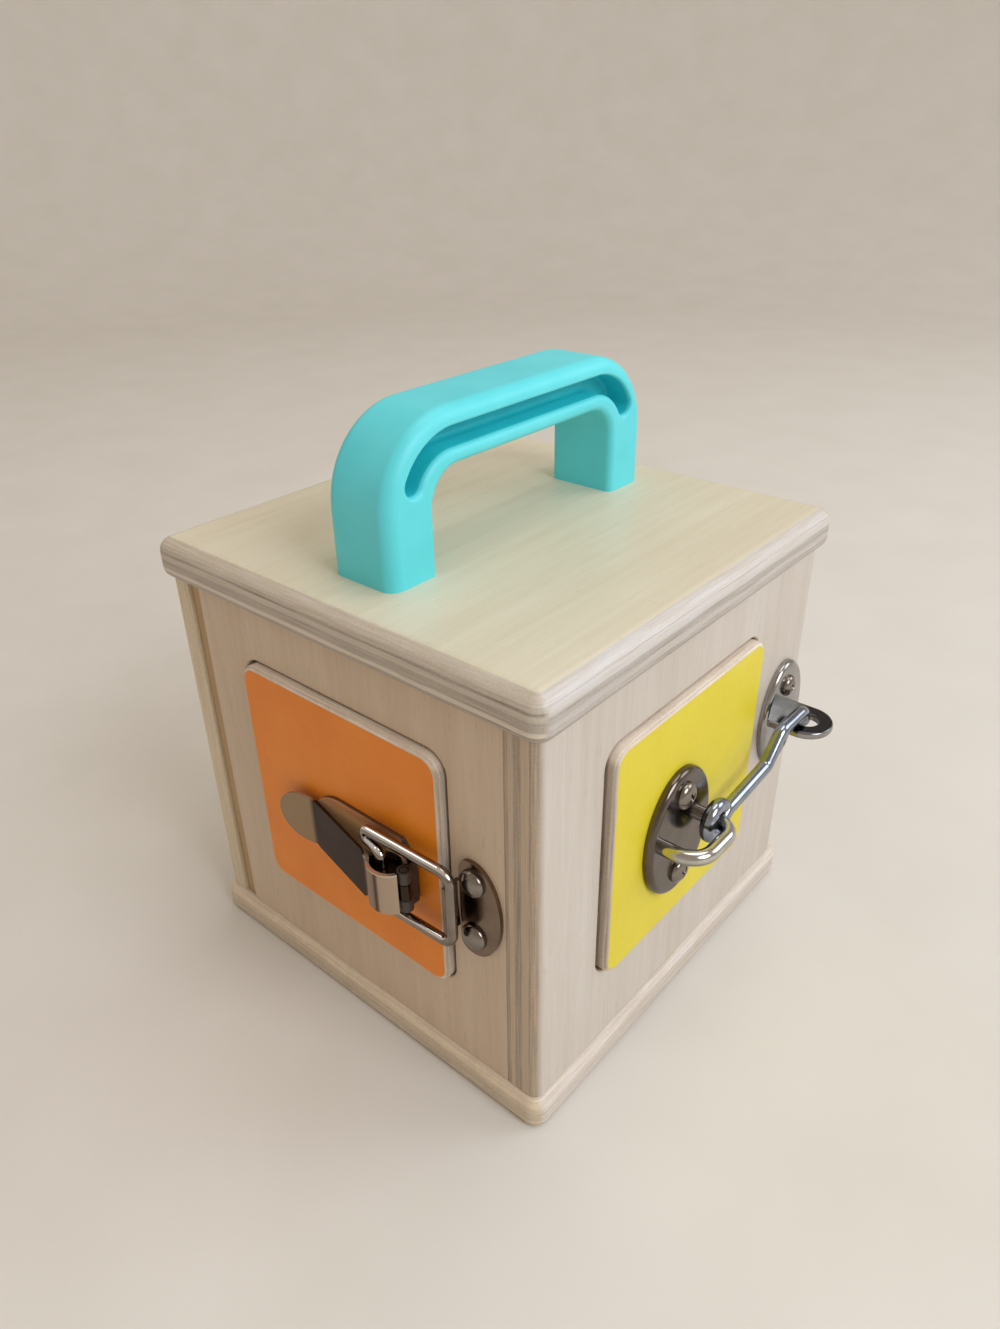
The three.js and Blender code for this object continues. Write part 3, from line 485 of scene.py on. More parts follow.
# Birch plywood: long grain on the faces, plies on the edges
def birchBoard(name, plies, thickness, offset, tones=birch, paint=None):
    finish, tree, shader = newFinish(name)
    coords, source = ownCoords(tree, offset)

    def layer(kind):
        return noise(tree, coords, *boardNoise[kind])

    def spread(kind, value):
        return ranged(tree, value, *boardSpan[kind])

    fibre = layer("fibre")
    shade = weighted(
        tree,
        (spread("fibre", fibre), boardShare["fibre"]),
        (spread("strand", layer("strand")), boardShare["strand"]),
        (spread("cloud", layer("cloud")), boardShare["cloud"]),
    )
    flecks = weighted(tree, (spread("dash", layer("dash")), boardShare["dash"]))
    face = mixed(tree, flecks, mixed(tree, shade, tones["light"], tones["dark"]), tones["fleck"])

    # End grain drawn out along the edge, with fine pores
    grain = weighted(tree, (layer("streak"), boardShare["streak"]), (layer("pores"), boardShare["pores"]))
    edge = mixed(tree, spread("edge", grain), tones["endGrain"], tones["pore"])
    combed = sums(tree, "ADD", weighted(tree, (shade, boardShare["combed"])), spread("combed", grain))
    normal = axesOf(tree, source.outputs["Normal"])
    across = sums(tree, "ABSOLUTE", normal[0])
    upward = sums(tree, "ABSOLUTE", normal[1])
    sideways = sums(tree, "ADD", sums(tree, "ADD", across, upward), nearZero)
    lookingUp = spread("lookingUp", sums(tree, "DIVIDE", upward, sideways))
    # Painted light: where a board has litAcrossEdge, its edges that look across it take that tone
    longGrainAndPaintedLight = tones["edge"]
    if "litAcrossEdge" in tones:
        longGrainAndPaintedLight = mixed(tree, lookingUp, tones["litAcrossEdge"], tones["edge"])
    sawn = mixed(tree, combed, longGrainAndPaintedLight, tones["fleck"])

    # Depth below the face, a little uneven so that the glue lines aren't ruled
    depth = sums(tree, "MULTIPLY", axesOf(tree, source.outputs["Object"])[2], -1 / mm)
    sway = ranged(tree, layer("sway"), 0, 1, -boardDepth["sway"], boardDepth["sway"])
    ramp = tree.nodes.new("ShaderNodeValToRGB")
    tree.links.new(sums(tree, "DIVIDE", sums(tree, "ADD", depth, sway), thickness), ramp.inputs[0])
    stops = ramp.color_ramp.elements
    shares = [(ply[1], ply[2], 0, 1) for ply in plies]
    stops[0].position = 0
    stops[0].color = shares[0]
    stops[-1].position = 1
    stops[-1].color = shares[-1]
    for ply, before, after in zip(plies[1:], shares, shares[1:]):
        stops.new((ply[0] - boardDepth["glue"]) / thickness).color = before
        stops.new((ply[0] + boardDepth["glue"]) / thickness).color = after
    shown = axesOf(tree, ramp.outputs[0])

    # Faces keep their veneer, and only the edges show the plies
    onEdge = ranged(tree, sums(tree, "ABSOLUTE", normal[2]), *tones["lean"], 1.0, 0.0)
    ofAcross = sums(tree, "MULTIPLY", shown[0], sums(tree, "SUBTRACT", 1.0, lookingUp))
    ofUp = sums(tree, "MULTIPLY", shown[1], lookingUp)
    endGrain = sums(tree, "ADD", ofAcross, ofUp)
    colour = mixed(tree, onEdge, face, mixed(tree, endGrain, sawn, edge))
    smooth = tones["roughness"] + boardGloss["smooth"]
    rough = tones["roughness"] + boardGloss["rough"]
    gloss = ranged(tree, fibre, *boardSpan["fibre"], smooth, rough)
    sunken = sums(tree, "MULTIPLY", endGrain, onEdge)
    height = weighted(tree, (fibre, boardRelief["fibre"]), (sunken, boardRelief["endGrain"]))

    # Paint on the face, with the fine peel of a roller
    if paint:
        shader.inputs["Specular IOR Level"].default_value = boardGloss["paintGleam"]
        onFace = sums(tree, "LESS_THAN", depth, boardDepth["paint"])
        roller = layer("roller")
        coat = mixed(tree, spread("mottle", layer("mottle")), paint["light"], paint["deep"])
        coat = mixed(tree, weighted(tree, (spread("roller", roller), paintFlecks)), coat, paint["fleck"])
        colour = mixed(tree, onFace, colour, coat)
        gloss = sums(tree, "ADD", weighted(tree, (onFace, boardGloss["paint"])), gloss)
        peel = weighted(tree, (roller, boardRelief["paintRoller"]), (fibre, boardRelief["paintFibre"]))
        step = tree.nodes.new("ShaderNodeMix")
        feed(tree, onFace, step.inputs[0])
        feed(tree, height, step.inputs[2])
        feed(tree, peel, step.inputs[3])
        height = step.outputs[0]
    tree.links.new(colour, shader.inputs["Base Color"])
    tree.links.new(gloss, shader.inputs["Roughness"])
    bumped(tree, shader, height, boardDepth["bump"])
    return finish


# Nickel plate with soft polishing marks and a few handling smudges, and painted shade where it looks down
plateLook = {
    "smudge": ((0.12, 0.12, 0.12), 3, 0.55), "smudgeSpan": (0.3, 0.7),
    "smudgeRough": (0.3, 0.75, -0.02, 0.04),
    "marks": ((5.0, 0.5, 0.5), 3, 0.6), "marksRough": (0.4, 0.7, 0.0, 0.03), "marksRelief": 0.1,
    "below": (0.1, -0.6), "paintedUnderShade": srgb(52, 47, 44), "bump": 0.012,
}


def plated(name, light, deep, roughness, offset=(0, 0, 0), metal=1.0, under=0.6, gleam=0.5):
    finish, tree, shader = newFinish(name)
    coords = ownCoords(tree, offset)[0]
    smudge = noise(tree, coords, *plateLook["smudge"])
    marks = noise(tree, coords, *plateLook["marks"])
    shader.inputs["Metallic"].default_value = metal
    shader.inputs["Specular IOR Level"].default_value = gleam
    tone = mixed(tree, ranged(tree, smudge, *plateLook["smudgeSpan"]), light, deep)
    # Painted shade: faces that look down are mixed towards a dark tone, by the share under
    geometry = tree.nodes.new("ShaderNodeNewGeometry")
    upward = axesOf(tree, geometry.outputs["Normal"])[2]
    tone = mixed(tree, ranged(tree, upward, *plateLook["below"], 0.0, under), tone, plateLook["paintedUnderShade"])
    tree.links.new(tone, shader.inputs["Base Color"])
    start, full, less, more = plateLook["smudgeRough"]
    dulled = ranged(tree, smudge, start, full, roughness + less, roughness + more)
    rough = sums(tree, "ADD", dulled, ranged(tree, marks, *plateLook["marksRough"]))
    tree.links.new(rough, shader.inputs["Roughness"])
    relief = sums(tree, "ADD", smudge, sums(tree, "MULTIPLY", marks, plateLook["marksRelief"]))
    bumped(tree, shader, relief, plateLook["bump"])
    return finish


# A second tone over a plated finish: each limit is what it reads, an axis and the values where it starts
# and is full
def retoned(finish, tone, *limits, metal=None):
    tree = finish.node_tree
    shader = tree.nodes["Principled BSDF"]
    coords, source = ownCoords(tree, (0, 0, 0))
    share = 1.0
    for reading, axis, low, high in limits:
        axes = axesOf(tree, coords if reading == "place" else source.outputs["Normal"])
        share = sums(tree, "MULTIPLY", ranged(tree, axes[axis], low, high), share)
    under = shader.inputs["Base Color"].links[0].from_socket
    tree.links.new(mixed(tree, share, under, tone), shader.inputs["Base Color"])
    if metal:
        socket = shader.inputs["Metallic"]
        tree.links.new(ranged(tree, share, 0.0, 1.0, socket.default_value, metal), socket)


# Satin moulded plastic with a very fine grain
mouldLook = {
    "offset": (40, 12, 3), "cloud": ((0.06, 0.06, 0.06), 3), "grain": ((2.4, 2.4, 2.4), 3, 0.6),
    "span": (0.3, 0.7), "smooth": -0.04, "rough": 0.06, "bump": 0.02,
}


def moulded(name, light, deep, roughness):
    finish, tree, shader = newFinish(name)
    coords = ownCoords(tree, mouldLook["offset"])[0]
    cloud = noise(tree, coords, *mouldLook["cloud"])
    grain = noise(tree, coords, *mouldLook["grain"])
    span = mouldLook["span"]
    tone = mixed(tree, ranged(tree, cloud, *span), light, deep)
    tree.links.new(tone, shader.inputs["Base Color"])
    rough = ranged(tree, grain, *span, roughness + mouldLook["smooth"], roughness + mouldLook["rough"])
    tree.links.new(rough, shader.inputs["Roughness"])
    bumped(tree, shader, grain, mouldLook["bump"])
    return finish


# Metal finishes; under sets how much painted shade darkens the undersides of each
darkNickel = plated("darkNickel", srgb(116, 106, 98), srgb(98, 89, 82), roughness=0.14)
# Painted dark reflection: the lever's dark brown, barely metallic tone stands for the dark its nickel mirrors
leverNickel = plated(
    "leverNickel", srgb(58, 36, 22), srgb(46, 28, 17), roughness=0.18, offset=(11, 4, 30),
    metal=0.14, gleam=0.03,
)
# Painted reflection: the leaf's orange-brown, barely metallic tone stands for the orange door in its nickel
leafNickel = plated(
    "leafNickel", srgb(224, 158, 106), srgb(204, 141, 93), roughness=0.45, offset=(3, 50, 8),
    metal=0.15, under=0.2,
)
keeperNickel = plated(
    "keeperNickel", srgb(140, 122, 106), srgb(120, 103, 89), roughness=0.15, offset=(44, 2, 21),
)
bailNickel = plated(
    "bailNickel", srgb(158, 148, 137), srgb(136, 126, 116), roughness=0.1, offset=(81, 33, 6), under=0.85,
)
hookNickel = plated(
    "hookNickel", srgb(164, 172, 188), srgb(140, 147, 162), roughness=0.13, offset=(52, 8, 40), under=0.85,
)
rivetNickel = plated(
    "rivetNickel", srgb(150, 141, 133), srgb(128, 119, 112), roughness=0.19, offset=(17, 80, 1),
)
paleNickel = plated(
    "paleNickel", srgb(180, 178, 176), srgb(152, 150, 148), roughness=0.16, offset=(60, 9, 70),
)
wireNickel = plated(
    "wireNickel", srgb(210, 207, 203), srgb(182, 179, 175), roughness=0.13, offset=(30, 5, 9), under=0.85,
)
plainSteel = plated(
    "plainSteel", srgb(196, 196, 192), srgb(172, 172, 168), roughness=0.3, offset=(7, 60, 2),
)
print("finishes ready")

# Lid and base plate: edges are the roundings of face and back, and how far the face's one is drawn in
covers = {
    "lid": {
        "name": "lidBoard", "corner": 4.5, "edges": (4.2, 3.0, 1.25), "offset": (13, 310, 0),
        "plies": lidPlies, "tones": lidBirch,
    },
    "base": {
        "name": "baseBoard", "corner": 4.5, "edges": (3.0, 2.4, 1.0), "offset": (260, -90, 70),
        "plies": basePlies, "tones": baseBirch,
    },
}
for node, cover in covers.items():
    low, high = nodeBox(node, "top")
    outline = roundedRect(low, high, cover["corner"])
    thick = high.z - low.z
    board = asPiece(cover["name"], plate(outline, thick, *cover["edges"]), facing("top", high.z))
    smoothed(board)
    finish = birchBoard(cover["name"] + "Birch", cover["plies"], thick, cover["offset"], cover["tones"])
    stand(board, node, finish)

# Walls: bends are the roundings of the two upright outer edges
walls = {
    "front_panel": {
        "name": "frontBoard", "side": "front", "bends": (0.4, 0.3), "offset": (40, 17, 5),
        "plies": wallPlies, "tones": shadedWarmBirch, "door": "orange_door",
    },
    "right_panel": {
        "name": "rightBoard", "side": "right", "bends": (3.0, 3.0), "offset": (-190, 55, 31),
        "plies": wallPlies, "tones": litPaleBirch, "door": "yellow_door",
    },
    "left_panel": {
        "name": "leftBoard", "side": "left", "bends": (2.2, 2.2), "offset": (420, -33, 64),
        "plies": plainEdge, "tones": creamBirch, "window": ((-37.5, 35.5), (37.5, 110.5)),
    },
    "back_panel": {
        "name": "backBoard", "side": "back", "bends": (0.3, 0.3), "offset": (-77, 240, 12),
        "plies": wallPlies, "tones": shadedWarmBirch,
    },
}
windowShape = {"hingeGap": 1.0, "gap": 0.5, "corner": 6.0, "rim": 0.7}
innerEdge = 0.3


def wallBlank(wall, node):
    low, high = nodeBox(node, wall["side"])
    thick = high.z - low.z
    profile = filleted(
        [(low.x, -thick), (high.x, -thick), (high.x, 0), (low.x, 0)],
        [innerEdge, innerEdge, wall["bends"][1], wall["bends"][0]],
    )
    return asPiece(wall["name"], barUp(profile, low.y, high.y), facing(wall["side"], high.z)), thick


# Corners of a wall's window: room round its door, or an opening of its own
def windowOf(wall):
    if "door" not in wall:
        return wall["window"]
    low, high = nodeBox(wall["door"], wall["side"])
    gap = windowShape["gap"]
    return (low.x - windowShape["hingeGap"], low.y - gap), (high.x + gap, high.y + gap)


for node, wall in walls.items():
    board, thick = wallBlank(wall, node)
    if "door" in wall or "window" in wall:
        opening = roundedRect(*windowOf(wall), windowShape["corner"])
        cutBy(board, holeCutter(opening, thick, windowShape["rim"], innerEdge))
    smoothed(board)
    finish = birchBoard(wall["name"] + "Birch", wall["plies"], thick, wall["offset"], wall["tones"])
    stand(board, node, finish)

# Sliding panel with its finger hole, and the rails that guide it
slider = {
    "name": "slidingBoard", "side": "left", "bends": (0.5, 0.5), "offset": (90, 140, 220),
    "hole": 12.0, "holeUp": 73.0, "rim": 1.0,
}
rails = {"nodes": ("guide_rail_bottom", "guide_rail_top"), "thickness": 10, "offset": (55, 21, 90)}
board, thick = wallBlank(slider, "sliding_panel")
hole = oval((0, slider["holeUp"]), 2 * slider["hole"], 2 * slider["hole"])
cutBy(board, holeCutter(hole, thick, slider["rim"], slider["rim"]))
smoothed(board)
stand(board, "sliding_panel", birchBoard("slidingBirch", plainEdge, thick, slider["offset"], shadedSlotEdge))
railBirch = birchBoard("railBirch", plainEdge, rails["thickness"], rails["offset"])
for node in rails["nodes"]:
    coated(node, railBirch)

# Doors: the paint stops where the rounded edge begins
doors = {
    "orange_door": {
        "name": "orangeLeafBoard", "side": "front", "corner": 5.5, "edge": 1.5, "offset": (5, 77, 19),
        "paint": {"light": srgb(242, 142, 36), "deep": srgb(234, 131, 24), "fleck": srgb(210, 110, 20)},
    },
    "yellow_door": {
        "name": "yellowLeafBoard", "side": "right", "corner": 5.5, "edge": 1.5, "offset": (150, 7, 44),
        "paint": {"light": srgb(227, 211, 56), "deep": srgb(222, 204, 40), "fleck": srgb(200, 178, 30)},
    },
}
for node, door in doors.items():
    low, high = nodeBox(node, door["side"])
    thick = high.z - low.z
    outline = roundedRect(low, high, door["corner"])
    leaf = plate(outline, thick, door["edge"], door["edge"])
    board = asPiece(door["name"], leaf, facing(door["side"], high.z))
    smoothed(board)
    finish = birchBoard(door["name"] + "Paint", doorPlies, thick, door["offset"], leafBirch, door["paint"])
    stand(board, node, finish)

# Handle: an arched bar with a deep groove let into each side
grip = {
    "outer": 24.0, "inner": 9.5, "gripDepth": 14.7, "foot": 16.25, "outerEdge": 4.0, "innerEdge": 2.1,
    "outerSteps": 20, "innerSteps": 14, "edgeSteps": 10, "sharp": 40,
    "light": srgb(101, 225, 236), "deep": srgb(90, 218, 229), "roughness": 0.42,
}
# Groove, with painted shade: deeper in tone below its lip, standing in for the shade in it and the light
# that has met the teal before it gets there
groove = {
    "inset": 4.7, "width": 5.7, "depth": 8.5, "floor": 1.2, "endAngle": 29.0, "arcSteps": 14, "capSteps": 12,
    "outerLip": 0.7, "innerLip": 2.0, "lipDepths": (2.0, 1.4, 0.9, 0.6, 0.35, 0.15, 0.04, 0.0), "over": 1,
    "light": srgb(46, 206, 218), "deep": srgb(36, 196, 209), "roughness": 0.5, "toneFrom": 1.3, "slack": 0.1,
}
low, high = nodeBox("handle", "right")
wide = high.z - low.z
shoulder = (high.x - grip["outer"], high.y - grip["outer"])
armpit = (high.x - grip["foot"] - grip["inner"], high.y - grip["gripDepth"] - grip["inner"])
grooveRim = grip["outer"] - groove["inset"]


def mirrored(points):
    return [(-x, y) for x, y in reversed(points)]


def archOutline(outerInset, innerInset):
    outerArc = arcPoints(shoulder, grip["outer"] - outerInset, 0, 90, grip["outerSteps"])
    innerArc = arcPoints(armpit, grip["inner"] + innerInset, 90, 0, grip["innerSteps"])
    right = [(high.x - outerInset, low.y)] + outerArc
    under = innerArc + [(high.x - grip["foot"] + innerInset, low.y)]
    return right + mirrored(right) + mirrored(under) + under


def grooveOutline(outerInset, innerInset):
    outer = grooveRim - outerInset
    inner = grooveRim - groove["width"] + innerInset
    end = groove["endAngle"]
    capAt = arcPoints(shoulder, (outer + inner) / 2, end, end, 1)[0]
    outerArc = arcPoints(shoulder, outer, end, 90, groove["arcSteps"])
    innerArc = arcPoints(shoulder, inner, 90, end, groove["arcSteps"])
    cap = arcPoints(capAt, (outer - inner) / 2, end - 180, end, groove["capSteps"])[1:-1]
    return cap + outerArc + mirrored(outerArc) + mirrored(cap) + mirrored(innerArc) + innerArc


# How far a rounded edge of a given radius is drawn in at a depth below the face
def drawnIn(radius, depth):
    return radius - math.sqrt(radius ** 2 - max(radius - depth, 0) ** 2)


def archBar():
    steps = grip["edgeSteps"]
    depths = [grip["outerEdge"] * (1 - math.cos(math.radians(90 * i / steps))) for i in range(steps + 1)]
    rings = []
    for depth in depths:
        outline = archOutline(drawnIn(grip["outerEdge"], depth), drawnIn(grip["innerEdge"], depth))
        rings.append([(x, y, depth - wide) for x, y in outline])
        rings.append([(x, y, -depth) for x, y in outline])
    return loft(rings[::2] + rings[::-2])


def grooveCutter():
    rings = []
    for inset, depth in reversed(edgeSteps(groove["floor"])):
        rings.append([(x, y, depth - groove["depth"]) for x, y in grooveOutline(inset, inset)])
    for depth in groove["lipDepths"]:
        flare = grooveOutline(-drawnIn(groove["outerLip"], depth), -drawnIn(groove["innerLip"], depth))
        rings.append([(x, y, -depth) for x, y in flare])
    mouth = grooveOutline(-groove["outerLip"], -groove["innerLip"])
    rings.append([(x, y, groove["over"]) for x, y in mouth])
    return loft(rings)


def inGroove(point):
    x, y, z = point / mm
    far = Vector((max(abs(x) - shoulder[0], 0), y - shoulder[1])).length
    within = grooveRim - groove["width"] - groove["slack"] < far < grooveRim + groove["slack"]
    return within and y > shoulder[1] and min(-z, z + wide) > groove["toneFrom"]


handle = asPiece("handleMoulding", archBar(), facing("right", high.z))
cutBy(handle, grooveCutter())
farGroove = asPiece("farGroove", grooveCutter(), facing("left", high.z))
combined(handle, farGroove, "DIFFERENCE")
smoothed(handle, grip["sharp"])
stand(handle, "handle", moulded("tealPlastic", grip["light"], grip["deep"], grip["roughness"]))
# The groove's faces take the painted shade of tealGrooveShade
handle.data.materials.append(moulded("tealGrooveShade", groove["light"], groove["deep"], groove["roughness"]))
for face in handle.data.polygons:
    if all(inGroove(handle.data.vertices[corner].co) for corner in face.vertices):
        face.material_index = 1

# Fasteners: a dome turned on its axis, with a cross recess where it is a screw; floor and mouth are shares
# of the recess's reach
dome = {
    "rim": 0.3, "around": 48, "rows": 10, "rowTurn": 8.6, "sharp": 40,
    "ease": 0.07, "floor": 0.45, "mouth": 1.06, "over": 0.4,
}


def domedHead(name, radius, height, place, recess=None):
    rim = dome["rim"]
    rings = [[(x, y, 0) for x, y in circlePoints((0, 0), radius, dome["around"])]]
    for i in range(dome["rows"] + 1):
        turn = math.radians(dome["rowTurn"] * i)
        size = radius * math.cos(turn)
        rise = rim + (height - rim) * math.sin(turn)
        rings.append([(x, y, rise) for x, y in circlePoints((0, 0), size, dome["around"])])
    head = asPiece(name, loft(rings), place)
    if recess:
        reach = recess["reach"]
        half = recess["width"] / 2
        arm = [(reach, -half), (reach, half), (half, half)]
        cross = []
        for quarter in range(4):
            turn = Matrix.Rotation(math.pi / 2 * quarter + math.radians(recess["turn"]), 2)
            cross += [turn @ Vector(point) for point in arm]
        cutter = loft([
            [(p.x * dome["floor"], p.y * dome["floor"], height - recess["depth"]) for p in cross],
            [(p.x * dome["mouth"], p.y * dome["mouth"], height + dome["over"]) for p in cross],
        ])
        cutBy(head, cutter)
        eased(head, dome["ease"], dome["sharp"])
    smoothed(head, dome["sharp"])
    return head


def headPlace(node, side, seat):
    low, high = nodeBox(node, side)
    middle = (low + high) / 2
    return facing(side, seat) @ Matrix.Translation(Vector((middle.x, middle.y, 0)) * mm)


# Screws on the right side: the node, name and turn of the cross of each
def screwsOn(seat, screw, *heads):
    for node, name, turn in heads:
        recess = {**screw["recess"], "turn": turn}
        head = domedHead(name, screw["radius"], screw["height"], headPlace(node, "right", seat), recess)
        stand(head, node, rivetNickel)


# Toggle latch, on the plane of the orange door's face
latch = {
    "up": 70.2, "sheet": 1.0, "pivot": (30.6, 5.3), "over": 2,
    "barrel": (23.4, 6.2), "barrelRadius": 4.9, "barrelLength": 13.0, "bore": 1.75, "endSink": 2.2,
    "knuckle": 1.9, "leverKnuckle": 5.0, "knuckleGap": 0.3, "rollGap": 0.6, "pin": 1.3, "tongueIn": 0.8,
    "slope": 12.0, "root": 151.0, "reach": 28.2, "creaseRadius": 7.0, "width": 16.2, "notch": 4.9,
    "roll": (25.1, 6.2), "rollWide": 5.9, "rollEnd": -187.0, "rollSteps": 44,
    "tabTilt": 7.0, "tabLength": 13.3, "tabRound": 9.2, "tabSlim": 0.2, "tabSteps": 20,
    "nickFrom": 6, "nickHalf": 1.4, "nickDepth": 0.7, "nickShoulder": 0.25,
    "leverBends": (0, 0, 0.7, 1.2, 0, 1.5, 1.0, 1.5, 0), "leverBlank": (-2, 16), "leverEase": 0.2,
    "baseLength": 41.0, "baseWidth": 22.4, "baseRound": 12.0, "baseTaper": 5.0, "baseSteps": 28,
    "neckIn": 1.5, "flange": 8, "flangeBends": (0, 1.6, 0, 0, 0.6, 0), "baseEase": 0.16,
}
latchPlane = facing("front", nodeBox("orange_door", "front")[1].z)
latchUp = latch["up"]
pivotAt = Vector(latch["pivot"])
barrelAt = Vector(latch["barrel"])
neck = latch["barrelLength"] / 2
sheet = latch["sheet"]


def uprightRod(middle, radius, length, steps=32):
    return barUp(circlePoints(middle, radius, steps), latchUp - length / 2, latchUp + length / 2)


def latchBasePlate():
    half = latch["baseWidth"] / 2
    end = pivotAt.x + sheet / 2
    roundAt = end - latch["baseLength"] + latch["baseRound"]
    neckAt = end - latch["neckIn"]
    taperAt = end - latch["baseTaper"]
    leaf = [(neckAt, latchUp - neck), (neckAt, latchUp + neck), (taperAt, latchUp + half)]
    for x, y in arcPoints((0, 0), 1, 90, 270, latch["baseSteps"]):
        leaf.append((roundAt + latch["baseRound"] * x, latchUp + half * y))
    leaf.append((taperAt, latchUp - half))
    base = asPiece("latchLeafPlate", barOut(leaf, 0, sheet), latchPlane)
    flangeAt = end - latch["flange"]
    flange = filleted(
        [(flangeAt, 0), (end, 0), (end, pivotAt.y),
         (end - sheet, pivotAt.y), (end - sheet, sheet), (flangeAt, sheet)],
        latch["flangeBends"],
    )
    joinedTo(base, barUp(flange, latchUp - neck, latchUp + neck))
    joinedTo(base, uprightRod(pivotAt, latch["knuckle"], latch["barrelLength"]))
    room = latch["leverKnuckle"] + 2 * latch["knuckleGap"]
    cutBy(base, uprightRod(pivotAt, latch["knuckle"] + latch["knuckleGap"], room))
    cutBy(base, uprightRod(pivotAt, latch["pin"], latch["barrelLength"] + latch["over"]))
    eased(base, latch["baseEase"])
    smoothed(base)
    return base


def latchLeverSheet():
    slope = math.radians(latch["slope"])
    tilt = math.radians(latch["tabTilt"])
    along = Vector((-math.cos(slope), -math.sin(slope)))
    outward = Vector((-math.sin(slope), math.cos(slope)))
    tabAlong = Vector((-math.cos(tilt), math.sin(tilt)))
    tabOutward = Vector((math.sin(tilt), math.cos(tilt)))
    root = math.radians(latch["root"])
    rollAt = Vector(latch["roll"])
    rollSteps = latch["rollSteps"]

    def rollPoints(inset, first, last):
        wide = latch["rollWide"] - inset
        tall = latch["barrelRadius"] - inset
        turns = arcPoints((0, 0), 1, first, last, rollSteps)
        return [rollAt + Vector((wide * x, tall * y)) for x, y in turns]

    # Seen from above: round the roll, along the outside to the tip, and back inside by the sheet
    start = rollAt + Vector((math.cos(root) * latch["rollWide"], math.sin(root) * latch["barrelRadius"]))
    crease = start + along * latch["reach"]
    tip = crease + tabAlong * latch["tabLength"]
    innerCrease = crease - (outward + tabOutward) / 2 * sheet
    bends = [0, latch["creaseRadius"], 0]
    profile = rollPoints(0, latch["rollEnd"], latch["root"])
    profile += filleted([start, crease, tip], bends)[1:]
    profile += filleted([tip - tabOutward * sheet, innerCrease, start - outward * sheet], bends)[:-1]
    profile += rollPoints(sheet, latch["root"], latch["rollEnd"])
    half = latch["width"] / 2
    lever = asPiece("latchLeverSheet", barUp(profile, latchUp - half, latchUp + half), latchPlane)

    # Seen from the front: narrow at the roll, nicked at the crease and round at the tab
    notch = barrelAt.x - latch["notch"]
    past = rollAt.x + 2 * latch["rollWide"]
    tabHalf = half - latch["tabSlim"]
    upper = filleted(
        [(past, 0), (past, neck), (notch, neck), (notch, half),
         (crease.x + latch["nickFrom"], half), (crease.x + latch["nickHalf"], half),
         (crease.x, half - latch["nickDepth"]), (crease.x - latch["nickHalf"], half - latch["nickShoulder"]),
         (tip.x + latch["tabRound"], tabHalf)],
        latch["leverBends"],
    )
    roundEnd = [
        Vector((tip.x + latch["tabRound"] * (1 + x), tabHalf * y, 0))
        for x, y in arcPoints((0, 0), 1, 90, 180, latch["tabSteps"])
    ]
    upper = upper[1:] + roundEnd[1:]
    lower = [Vector((p.x, -p.y, 0)) for p in reversed(upper[:-1])]
    outline = [(p.x, latchUp + p.y) for p in upper + lower]
    blank = asPiece("leverBlank", barOut(outline, *latch["leverBlank"]), latchPlane)
    combined(lever, blank, "INTERSECT")

    # Filled roll with sunk ends, bored for the bail, and a tongue to the knuckle on the pivot
    link = latch["leverKnuckle"] / 2
    tongueAt = barrelAt.x + latch["barrelRadius"] - sheet * latch["tongueIn"]
    tongue = [
        (tongueAt, pivotAt.y - sheet / 2), (pivotAt.x, pivotAt.y - sheet / 2),
        (pivotAt.x, pivotAt.y + sheet / 2), (tongueAt, pivotAt.y + sheet / 2),
    ]
    core = latch["barrelLength"] - 2 * latch["endSink"]
    through = latch["barrelLength"] + latch["over"]
    fill = rollPoints(sheet / 2, 0, 360 - 360 / (rollSteps + 1))
    joinedTo(lever, barUp(fill, latchUp - core / 2, latchUp + core / 2))
    cutBy(lever, uprightRod(pivotAt, latch["knuckle"] + latch["rollGap"], through))
    cutBy(lever, uprightRod(barrelAt, latch["bore"], through))
    joinedTo(lever, barUp(tongue, latchUp - link, latchUp + link))
    joinedTo(lever, uprightRod(pivotAt, latch["knuckle"], latch["leverKnuckle"]))
    cutBy(lever, uprightRod(pivotAt, latch["pin"], latch["leverKnuckle"] + latch["over"]))
    eased(lever, latch["leverEase"])
    smoothed(lever)
    return lever


bail = {
    "wire": 1.45, "endDepth": 3.5, "inner": 8.4, "outer": 11.55, "hairpin": (15.8, 4.5), "leg": (45.05, 3.6),
    "radii": (1.8, 1.57, 1.57, 3.6), "stepAngle": 8,
}


def latchBailWire():
    def half(side):
        return [
            (barrelAt.x, latchUp + side * bail["endDepth"], barrelAt.y),
            (barrelAt.x, latchUp + side * bail["inner"], barrelAt.y),
            (bail["hairpin"][0], latchUp + side * bail["inner"], bail["hairpin"][1]),
            (bail["hairpin"][0], latchUp + side * bail["outer"], bail["hairpin"][1]),
            (bail["leg"][0], latchUp + side * bail["outer"], bail["leg"][1]),
        ]

    radii = [0, *bail["radii"]]
    path = filleted(half(1) + half(-1)[::-1], radii + radii[::-1], stepAngle=bail["stepAngle"])
    return bentWire("latchBailWire", path, bail["wire"], latchPlane)


onTab = ("place", 0, -7.0, -9.0)
onRoll = ("place", 0, 18.6, 19.4)
onRim = ("place", 1, 76.2, 76.4)
inWell = ("place", 1, 75.8, 75.4)
# Painted highlight: the tab is lighter than the lever's face, as it tilts to the light; the roll gets more
# metal
retoned(leverNickel, srgb(158, 135, 108), onTab)
retoned(leverNickel, srgb(84, 66, 52), onRoll, metal=0.85)

